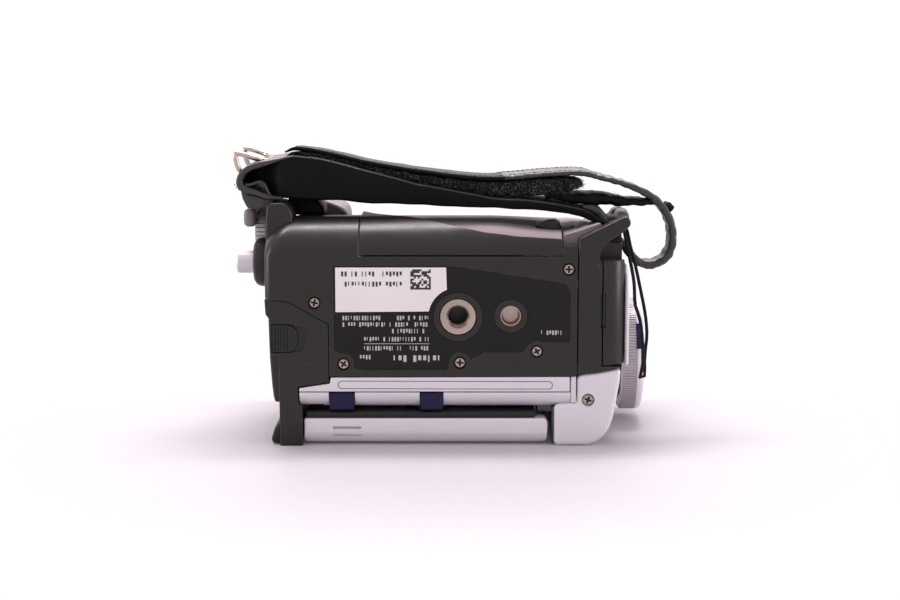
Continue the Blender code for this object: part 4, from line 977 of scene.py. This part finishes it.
def lens():
    radius = 18.2
    ribs = ridged("lens_ribs", LENS_AXIS, radius, 0.35, 120, 53.1, 57.4)
    cut(ribs, cylinder("rib_bore", "X", LENS_AXIS, 50, 60, 15.0, 64))
    show(ribs, "body", "lens_metal", sharp=25)
    band = turned("lens_hood", "X", LENS_AXIS, [(14.6, 52.5), (radius - 0.9, 52.5), (radius - 0.7, 53.0),
        (radius - 0.7, 57.3), (radius, 57.5), (radius, 57.9), (radius - 0.25, 58.9), (radius - 0.9, 59.6),
        (radius - 1.9, 59.9), (15.6, 59.7), (15.2, 59.2)], 96)
    show(band, "body", "silver_paint", "lens_ring")
    patch = turned("lens_hood_mark", "X", LENS_AXIS,
        [(18.22, 57.2), (18.42, 57.3), (18.42, 57.8), (18.2, 58.7), (17.9, 58.8)], 96)
    cut(patch, box("mark_limit_low", (50, 0, -10), (70, 100, 25.4)),
        box("mark_limit_high", (50, 0, 33.0), (70, 100, 60)),
        box("mark_limit_far", (50, 46, -10), (70, 100, 60)))
    show(patch, "body", "navy_plastic")


# ------------------------------------------------------------------ rear controls and fittings

def mode_dial():
    y, z = 34.0, 63.5
    dial = ridged("dial_wheel", (y, z), 6.7, 0.7, 31, -64.0, -60.9, fill=0.7)
    core = turned("dial_core", "X", (y, z), [(5.2, -63.7), (6.15, -63.7), (6.15, -61.1), (5.2, -61.1)], 64)
    # The core takes the lighter grey, painting light into the dial's grooves where the strap casts shade.
    show(core, "mode_dial", "painted_light_grey")
    cap = turned("dial_cap", "X", (y, z), [(0.0, -64.3), (4.6, -64.3), (5.4, -64.1), (5.9, -64.0),
        (5.9, -60.6), (6.2, -60.5), (6.2, -59.8), (1.8, -59.8), (1.8, -56.0), (0.0, -56.0)], 64)
    show(dial, "mode_dial", "silver_paint", sharp=25)
    show(cap, "mode_dial", "silver_paint", "mode_dial")


def record_button():
    y, z = 20.0, 54.4
    ring = turned("record_collar", "X", (y, z), [(4.0, -62.2), (4.9, -63.4), (5.9, -63.4), (7.1, -62.6),
        (7.6, -61.4), (7.7, -60.0), (7.7, -59.0), (4.0, -59.0)], 64)
    tab = prism("record_tab", [(-64.4, 57.0), (-63.4, 57.4), (-62.4, 61.6), (-61.2, 62.0), (-61.0, 56.6)],
        "Y", 19.0, 21.0, 0.2)
    show(join(ring, tab), "body", "black_plastic", "record_button_ring")
    button = turned("record_cap", "X", (y, z), [(0.0, -68.5), (1.6, -68.6), (2.6, -68.9), (3.1, -68.9),
        (3.5, -68.4), (3.5, -61.0), (1.8, -60.6), (1.8, -56.0), (0.0, -56.0)], 64)
    show(button, "record_button", "silver_paint", "record_button")


def screw(name, x, z, turn):
    """A crosshead screw whose cross is turned by some degrees, with a dark floor in the cross that paints
    the shade there.
    """
    head = turned(name + "_head", "Y", (x, z), [(0.0, 0.18), (0.9, 0.2), (1.35, 0.3), (1.62, 0.55),
        (1.62, 1.1), (0.8, 1.1), (0.8, 2.8), (0.0, 2.8)], 40)
    spin = Matrix.Rotation(math.radians(turn), 3, "Y")
    tools, bars = [], []
    for number, (wide, tall) in enumerate(((2.2, 0.66), (0.66, 2.2))):
        for parts, word, low, high, depth in ((tools, "slot", -1.0, 0.75, -0.125),
                (bars, "bar", 0.0, 0.5, 0.72)):
            part = box(f"{word}_{number}", (-wide / 2, low, -tall / 2), (wide / 2, high, tall / 2))
            part.location = at(x, depth, z)
            part.rotation_euler = spin.to_euler()
            parts.append(part)
    show(cut(head, *tools), "body", "nickel", name)
    show(join(bars[0], bars[1]), "body", "screw_cross_painted_shade")
    bars[0].name = name + "_recess"


def fittings():
    for name, (x, z, turn) in SCREWS.items():
        screw(name, x, z, turn)
    thread, pitch = [], 0.62
    for number in range(12):
        thread += [(3.0, 1.0 + pitch * number), (3.35, 1.0 + pitch * number + pitch / 2)]
    socket = turned("socket_bush", "Y", SOCKET, [(3.6, 0.05), (4.9, 0.0), (5.35, 0.15), (5.55, 0.5),
        (5.55, 8.4), (3.0, 8.4), *thread[::-1], (3.0, 0.85)], 64)
    show(socket, "body", "nickel", "tripod_socket")
    cup = turned("pin_cup", "Y", PIN_HOLE, [(2.8, 0.25), (3.15, 0.35), (3.2, 0.6), (3.2, 5.4), (0.0, 5.4),
        (0.0, 4.6), (2.4, 4.6), (2.75, 4.2)], 48)
    show(cup, "body", "nickel", "pin_hole_cup")


# ------------------------------------------------------------------ hand strap


def half_mesh(mesh, keep_rear):
    """The mesh's part behind or in front of the middle, with its cut closed."""
    bm = bmesh.new()
    bm.from_mesh(mesh)
    side = Vector((1.0 if keep_rear else -1.0, 0.0, 0.0))
    bmesh.ops.bisect_plane(bm, geom=[*bm.verts, *bm.edges, *bm.faces], plane_co=at(0, 0, 0), plane_no=side,
        clear_outer=True)
    open_edges = [edge for edge in bm.edges if len(edge.link_faces) == 1]
    if open_edges:
        bmesh.ops.holes_fill(bm, edges=open_edges, sides=0)
    bmesh.ops.recalc_face_normals(bm, faces=bm.faces)
    return mesh_of(mesh.name, bm)


def strap_piece(shape, look, node=None, sharp=50.0):
    """A strap piece cut in two halves at the middle, each shown as a piece of its own."""
    settle(shape)
    xs = [(vertex.co.x - ORIGIN.x) / MM for vertex in shape.data.vertices]
    for name, keep_rear, present in (("rear", True, min(xs) < -0.1), ("front", False, max(xs) > 0.1)):
        if not present:
            continue
        piece = linked(f"{shape.name}_{name}", half_mesh(shape.data, keep_rear))
        show(piece, None, look, sharp=sharp)
        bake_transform(piece)
    if node:
        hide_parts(node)
    bpy.data.objects.remove(shape, do_unlink=True)


def strap_trim(shape, look="painted_highlight_leather"):
    """A leather strap piece with no CAD node of its own, by default in the lighter leather that paints its
    highlight.
    """
    strap_piece(shape, look, sharp=60)


def ruffle(point, size, amount):
    """A small smooth shift of a point, the same every run."""
    vector = Vector(point) / size
    return Vector(point) + Vector((noise.noise(vector), noise.noise(vector + Vector((31, 7, 3))),
        noise.noise(vector + Vector((5, 53, 17))))) * amount


def rounded_ring(half_wide, half_tall, corner, steps=5):
    """Points round a rectangle with rounded corners, in its own plane."""
    corner = min(corner, half_wide * 0.98, half_tall * 0.98)
    ring = []
    for sign_a, sign_b, start in ((1, 1, 0), (-1, 1, 90), (-1, -1, 180), (1, -1, 270)):
        ring += arc((sign_a * (half_wide - corner), sign_b * (half_tall - corner)), (corner, corner), start,
            start + 90, steps)
    return ring


def sweep(name, route, count, width_at, roughness=0.0, grain=2.5):
    """A strap along a path in (x, z). width_at(share, x) gives (thickness, near y, far y, far drop)."""
    path = smooth_path([(x, z, 0.0) for x, z in route], count)
    rings = []
    for index, point in enumerate(path):
        before, after = path[max(index - 1, 0)], path[min(index + 1, count - 1)]
        forward = (after - before).normalized()
        side = Vector((-forward.y, forward.x))
        thick, near, far, drop = width_at(index / (count - 1), point.x)
        ring = []
        for across, up in rounded_ring((far - near) / 2, thick / 2, thick * 0.42):
            share = (across + (far - near) / 2) / (far - near)
            place = Vector((point.x, 0.0)) + side * up
            corner = Vector((place.x, (near + far) / 2 + across, point.y + place.y - drop * share))
            ring.append(ruffle(corner, grain, roughness) if roughness else corner)
        rings.append(ring)
    return loft(name, rings)


def between(table, x):
    """Value at x on a line through the table's (x, value) points."""
    if x <= table[0][0]:
        return table[0][1]
    for (x0, v0), (x1, v1) in zip(table, table[1:]):
        if x <= x1:
            return v0 + (v1 - v0) * (x - x0) / (x1 - x0)
    return table[-1][1]


PAD_TOP = [(-65.6, 81.2), (-63.9, 83.0), (-60.0, 84.6), (-56.0, 86.3), (-52.5, 87.7), (-49.6, 88.1),
    (-45.0, 87.5), (-40.4, 86.7), (-33.0, 84.9), (-26.2, 82.8), (-16.0, 80.3), (-7.4, 78.3), (10.3, 75.1),
    (27.0, 73.7), (34.0, 72.5), (38.0, 71.7), (41.5, 70.3), (44.6, 67.9)]
PAD_LOW = [(-65.6, 79.6), (-64.4, 79.2), (-62.0, 79.4), (-60.0, 78.6), (-58.6, 76.6), (-56.0, 75.2),
    (-52.0, 74.6), (-45.0, 74.4), (-36.1, 74.2), (-26.0, 73.1), (-7.3, 72.5), (10.1, 71.9), (26.7, 70.9),
    (34.0, 70.1), (38.0, 69.1), (41.5, 67.7), (44.6, 65.6)]


def strap_pad():
    rings = []
    stations = 96
    for index in range(stations):
        x = -65.6 + 110.2 * index / (stations - 1)
        top, low = between(PAD_TOP, x), between(PAD_LOW, x)
        near, far = between([(-66.6, 19.0), (-60.0, 16.0), (-54.0, 11.6)],
            x), between([(20, 40.6), (36, 36.0), (44, 30.0)], x)
        half_tall = (top - low) / 2
        ring = []
        for across, up in rounded_ring((far - near) / 2, half_tall, min(0.8, half_tall * 0.8), 6):
            share = up / half_tall
            tuck = 1.1 * (1 - share) * between([(-59, 0.2), (-40, 1.0), (36, 0.3)], x)
            y = (near + far) / 2 + across + (tuck if across < 0 else -tuck)
            ring.append(ruffle((x, y, (top + low) / 2 + up), 7.0, 0.35))
        rings.append(ring)
    strap_piece(loft("hand_pad", rings), "strap_leather", "strap_pad")
    curl = [(-50.5, 87.75), (-54.0, 87.0), (-59.8, 85.4), (-63.6, 84.2), (-66.0, 82.4), (-67.0, 80.1),
        (-66.3, 78.3), (-64.3, 77.3), (-61.5, 76.5), (-58.0, 75.4), (-54.0, 74.9)]
    thickness = [(0.0, 0.35), (0.14, 0.8), (0.3, 1.9), (0.68, 2.1), (0.8, 1.5), (1.0, 1.0)]
    strap_trim(sweep("pad_curl", curl, 70, lambda share, x: (between(thickness, share), 11.0, 41.0, 0.0),
        0.18, 5.0))
    flap = [(-65.2, 78.9), (-63.2, 79.3), (-61.3, 80.0), (-59.6, 79.4), (-58.5, 77.2), (-57.0, 74.9)]
    strap_trim(sweep("pad_flap", flap, 30, lambda share, x: (0.9, 12.0, 40.0, 0.0), 0.15, 4.0))
    cuff = prism("pad_cuff", [(-66.9, 77.8), (-66.2, 74.6), (-65.0, 72.2), (-64.0, 71.4), (-57.5, 71.9),
        (-56.6, 74.5), (-60.0, 75.2), (-64.0, 76.2)], "Y", 12.6, 39.0, 0.7, 3)
    strap_trim(cuff)
    fold = prism("pad_under_fold", [(-53.2, 75.4), (-50.5, 75.6), (-47.0, 74.6), (-44.2, 73.2),
        (-42.2, 71.2), (-41.4, 68.6), (-53.0, 68.6)], "Y", 25.0, 42.0, 0.8, 3)
    strap_trim(fold, "strap_leather")


def strap_post():
    post = box("strap_post", (-66.7, 19.0, 65.3), (-62.9, 46.0, 71.0), 1.5, 5)
    join(post, box("post_bracket", (-66.2, 43.0, 65.5), (REAR_X - GAP, 48.0, 70.0), 0.8, 3))
    show(post, "body", "post_grey", "rear_strap_lug")


TAPE_TOP = [(-48.7, 88.9), (-40.4, 87.6), (-33.0, 86.1), (-26.2, 84.3), (-11.7, 81.6), (0.7, 79.9),
    (10.3, 79.1), (26.9, 80.2), (38.6, 80.5)]
TAPE_LOW = [(-48.7, 88.2), (-40.4, 86.6), (-33.0, 84.8), (-26.2, 82.7), (-16.0, 80.2), (-7.4, 78.2),
    (0.7, 76.8), (10.3, 75.1), (18.3, 74.7), (28.7, 75.3), (33.9, 76.1), (38.6, 77.4)]


def hook_tape():
    rings = []
    for index in range(120):
        x = -48.7 + 87.3 * index / 119
        top, low = between(TAPE_TOP, x), between(TAPE_LOW, x)
        half_tall = (top - low) / 2 * math.sqrt(max(1 - max((x - 33.6) / 5.2, 0.0) ** 2, 0.03))
        ring = [ruffle((x, 27.5 + across, (top + low) / 2 + up), 0.9, 0.55) for across,
            up in rounded_ring(10.0, half_tall, half_tall * 0.5, 4)]
        rings.append(ring)
    strap_piece(loft("hook_strip", rings), "hook_fabric", "strap_hook_tape", sharp=80)
    chooser = random.Random(11)
    for name, count, look in (("hook_fibres", 1700, "hook_fabric"), ("hook_lint", 90, "lint")):
        bm = bmesh.new()
        for _ in range(count):
            x = chooser.uniform(-45.0, 38.8)
            if chooser.random() < 0.45:
                x = chooser.uniform(*((8.0, 34.0) if name == "hook_lint" else (32.0, 38.4)))
            top, low = between(TAPE_TOP, x), between(TAPE_LOW, x)
            z = chooser.uniform(low - 0.1, top)
            start = Vector((x, 17.6, z))
            lean = Vector((chooser.uniform(-0.9, 0.9), -1.0, chooser.uniform(-1.3, 0.7)))
            if x > 34.5:
                start.y = chooser.uniform(17.6, 34.0)
                start.z = (top + low) / 2 + chooser.uniform(-1.7,
                    1.7) * math.sqrt(max(1 - ((x - 34.0) / 5.0) ** 2, 0.02))
                lean = Vector((1.6, chooser.uniform(-0.8, 0.3), chooser.uniform(-1.2, 0.5)))
            strand(bm, start, lean.normalized() * chooser.uniform(0.5, 1.7), chooser,
                0.04 if name == "hook_lint" else 0.07)
        strap_piece(raw_object(name, bm), look, sharp=80)


def strand(bm, start, reach, chooser, radius=0.075):
    """One thin curved fibre with three sides."""
    bend = Vector([chooser.uniform(-0.5, 0.5) for _ in range(3)]) * reach.length
    across = reach.orthogonal().normalized() * radius
    upward = reach.cross(across).normalized() * radius
    rows = []
    for share in (0.0, 0.5, 1.0):
        centre = start + reach * share + bend * share * share
        size = 1.0 - 0.65 * share
        rows.append([bm.verts.new(at(*(centre + (across * math.cos(turn) + upward * math.sin(turn))
            * size))) for turn in (0.0, 2.094, 4.189)])
    for first, second in zip(rows, rows[1:]):
        for index in range(3):
            after = (index + 1) % 3
            bm.faces.new((first[index], first[after], second[after], second[index]))
    bm.faces.new(rows[0][::-1])
    bm.faces.new(rows[-1])


BAND_TOP = [(-53.4, 88.9), (-49.6, 89.9), (-40.4, 88.5), (-33.3, 86.8), (-26.2, 85.2), (-11.7, 82.8),
    (0.7, 81.2), (10.2, 80.5), (14.6, 80.75)]
LOOP = [(14.0, 80.7), (19.2, 81.1), (26.9, 81.8), (37.7, 82.2), (43.9, 80.9), (52.9, 78.4), (59.5, 75.3),
    (63.0, 72.4), (64.8, 69.9), (66.3, 66.6), (66.9, 62.8), (66.6, 59.0), (64.9, 55.8), (61.9, 53.9),
    (58.8, 53.6), (56.1, 54.6), (54.0, 56.9), (51.9, 59.6), (49.8, 61.9)]
BAND_HELD = [(49.8, 61.9), (48.0, 64.0), (46.6, 65.0)]
TONGUE = [(27.5, 75.0), (32.0, 74.7), (36.6, 74.2), (40.0, 74.1), (44.2, 74.0), (47.5, 73.7), (50.5, 73.3),
    (55.6, 73.1), (58.9, 73.0), (61.6, 73.0)]


def strap_band():
    def top_width(share, x):
        drop = between([(-50, 0.8), (-20, 0.6), (14, 0.2)], x)
        return between([(-53.4, 0.5), (-50.0, 1.3), (10.0, 1.4)], x), 17.0, 38.0, drop

    def loop_width(share, x):
        narrow = min(max((share - 0.3) / 0.2, 0.0), 1.0)
        thick = between([(0.0, 1.5), (0.3, 1.6), (0.42, 1.7), (0.55, 2.3), (1.0, 2.45)], share)
        return thick + 0.16 * math.sin(share * 150.0), 17.0 + 0.3 * narrow, 38.0 - 10.0 * narrow, 0.2

    strap_piece(sweep("strap_ribbon", BAND_TOP, 120, top_width, 0.15, 4.0), "strap_leather", "strap_band",
        sharp=60)
    strap_trim(sweep("strap_loop", LOOP, 300, loop_width, 0.22, 1.5))
    held = sweep("strap_ribbon_end", BAND_HELD, 30, lambda share,
        x: (2.3 + 0.2 * math.sin(share * 30), 17.3, 28.0, 0.0), 0.2, 3.0)
    strap_trim(held)


def strap_tongue():
    tongue_thickness = [(27.5, 1.2), (32, 2.0), (36.6, 2.8), (41, 3.5), (45.5, 3.7), (47.5, 2.6), (50, 2.6),
        (56.5, 2.2), (58.5, 1.7), (61.6, 1.5)]
    tongue_far = [(36, 36.0), (50, 33.0), (61, 27.0)]
    tongue = sweep("strap_end", TONGUE, 60, lambda share,
        x: (between(tongue_thickness, x), 18.0, between(tongue_far, x), 0.0), 0.45, 2.0)
    strap_piece(tongue, "strap_leather", "strap_tongue", sharp=60)
    knot = sweep("strap_knot", [(64.3, 72.0), (65.4, 71.6), (66.6, 70.9)], 12, lambda share,
        x: (2.9 - 0.9 * abs(share - 0.4), 18.0, 24.0, 0.0), 0.4, 1.2)
    strap_trim(knot, "strap_leather")
    anchor = sweep("strap_anchor", [(39.0, 71.6), (41.5, 71.2), (43.6, 70.0), (45.4, 68.0), (46.4, 66.4),
        (46.6, 64.6)], 40, lambda share, x: (between([(0.0, 1.6), (0.3, 3.0), (1.0, 2.8)], share), 16.0,
        32.0, 0.0), 0.25, 3.0)
    strap_trim(anchor)
    chooser = random.Random(5)
    bm = bmesh.new()
    for _ in range(60):
        x = chooser.uniform(45.5, 50.0)
        lean = Vector((chooser.uniform(-0.8, 0.8), -0.4, 1.0))
        strand(bm, Vector((x, chooser.uniform(18, 22), 74.6)),
            lean.normalized() * chooser.uniform(0.6, 1.7), chooser)
    strap_piece(raw_object("tongue_tuft", bm), "hook_fabric", sharp=80)


def stitches(name, path, size, edge, places):
    """Thread along a path in (x, z): places gives the middles of the stitches at one point of it."""
    bm = bmesh.new()
    for point, after in zip(path, path[1:]):
        forward = (after - point).normalized()
        turn = Matrix.Rotation(-math.atan2(forward.y, forward.x), 4, "Y")
        scale = Matrix.Diagonal((*(length * MM for length in size), 1.0))
        for centre in places(point, Vector((-forward.y, forward.x))):
            bmesh.ops.create_cube(bm, size=1.0, matrix=Matrix.Translation(at(*centre)) @ turn @ scale)
    strap_piece(bevelled(raw_object(name, bm), edge, 2), "thread")


def strap_stitches():
    def on_band(point, side):
        drop = between([(-50, 2.9), (-20, 2.9), (14, 0.2)], point.x)
        for y in (18.6, 36.4) if point.x < 40 else (18.9,):
            yield point.x + side.x * 0.82, y, point.y + side.y * 0.82 - drop * (y - 17.0) / 21.0

    band_path = smooth_path([(x, z, 0.0) for x, z in BAND_TOP[1:] + LOOP[1:5]], 62)
    stitches("band_stitches", band_path, (1.25, 0.34, 0.26), 0.08, on_band)
    curl_route = ((-68.3, 78.6), (-67.1, 77.1), (-64.6, 76.3), (-61.5, 75.7), (-58.4, 74.8))
    curl_path = smooth_path([(x, z, 0.0) for x, z in curl_route], 12)
    stitches("curl_stitches", curl_path, (0.75, 0.3, 0.22), 0.07, lambda point,
        side: [(point.x, 11.15, point.y + 0.55)])


def buckle():
    near, far = 14.6, 40.4
    side = [(-66.6, 82.6), (-67.7, 84.2), (-68.6, 88.2), (-67.7, 88.8), (-58.6, 85.8)]
    loop = [(x, near, z) for x, z in side] + [(x, far, z) for x, z in side[::-1]]
    points = [Vector(point) for point in loop]
    for _ in range(3):  # each round cuts the corners
        points = [p for a, b in zip(points, points[1:] + points[:1])
            for p in (a.lerp(b, 0.25), a.lerp(b, 0.75))]
    wire("buckle_wire", points, 0.8, "chrome_wire", "body", "strap_buckle", closed=True)


# ------------------------------------------------------------------ viewfinder and top

FINDER_AXIS = (60.7, 29.2)


def viewfinder():
    sleeve = box("finder_sleeve", (-54.4, 47.0, 15.4), (-36.0, 72.0, 43.5), 1.6, 5)
    cut(sleeve, box("sleeve_bore", (-60, 49.2, 17.3), (-30, 70.4, 41.5)))
    show(sleeve, "body", "silver_paint", "viewfinder_sleeve")
    tube = box("finder_tube", (-55.6, 49.7, 17.8), (-24, 69.9, 41.0), 3.0, 6)
    cut(tube, cylinder("tube_bore", "X", FINDER_AXIS, -70, -30, 7.4, 64))
    show(tube, "viewfinder", "black_plastic", "viewfinder_tube")
    cup = prism("finder_cup", arc(FINDER_AXIS, (11.6, 12.6), 0, 355, 71), "X", -60.4, -55.9, 1.6, 6)
    hollow = prism("cup_hollow", arc(FINDER_AXIS, (9.8, 10.8), 0, 355, 71), "X", -61, -58.2, 0.0)
    cut(cup, hollow, cylinder("cup_bore", "X", FINDER_AXIS, -70, -50, 8.2, 64))
    show(cup, "viewfinder", "rubber", "eyecup")


def top_controls():
    pivot = (-44.0, 52.0)
    lever = cylinder("zoom_disc", "Y", pivot, TOP_Y + GAP, TOP_Y + 3.0, 6.4, 64, 0.8)
    finger = box("zoom_tab", (pivot[0] - 2, TOP_Y + GAP, pivot[1] + 2), (pivot[0] + 2, TOP_Y + 3.6, 63.0),
        0.7)
    grooves = [box(f"zoom_groove_{n}", (pivot[0] - 3, TOP_Y + 3.3, 59.0 + n),
        (pivot[0] + 3, TOP_Y + 5, 59.4 + n)) for n in range(4)]
    join(lever, finger, cylinder("zoom_post", "Y", pivot, 72.0, TOP_Y + 1, 1.9))
    show(cut(lever, *grooves), "zoom_lever", "silver_paint", "zoom_lever")
    holes = [cylinder(f"mic_hole_{row}_{column}", "Y", (26.6 + 2.1 * column, 32.4 + 2.1 * row), 75.4, 77,
        0.6, 12) for row in range(5) for column in range(8)]
    grille = box("mic_grille", (24.3, 73.2, 30.3), (43.7, TOP_Y + 0.2, 41.7), 0.6, 3)
    cut(grille, join(*holes))
    show(grille, "body", "black_plastic", "microphone_grille")


# ------------------------------------------------------------------ everything in order

def plain_nodes():
    """CAD nodes that are shown as they are take their slot's look."""
    slots = {part["node"]: part["material_slot"] for part in frame["record"]["subparts"]}
    for name, node in NODES.items():
        look = LOOKS[slots[name]]
        for material_slot in node.material_slots:
            material_slot.material = look
        if not node.material_slots:
            node.data.materials.append(look)


camera()
studio()
plain_nodes()
cord()
main_casing()
underside_plate()
rating_label()
plate_print()
top_cover()
side_wall()
trim_strip()
navy_insert()
front_housing()
rear_cover()
battery_and_slider()
cassette_door()
grip_plate()
hinge_rod_and_lever()
front_band()
grip_shoulder()
jack_cover()
face_panel()
screen()
lens()
mode_dial()
record_button()
fittings()
viewfinder()
top_controls()
strap_pad()
strap_post()
hook_tape()
strap_band()
strap_tongue()
strap_stitches()
buckle()
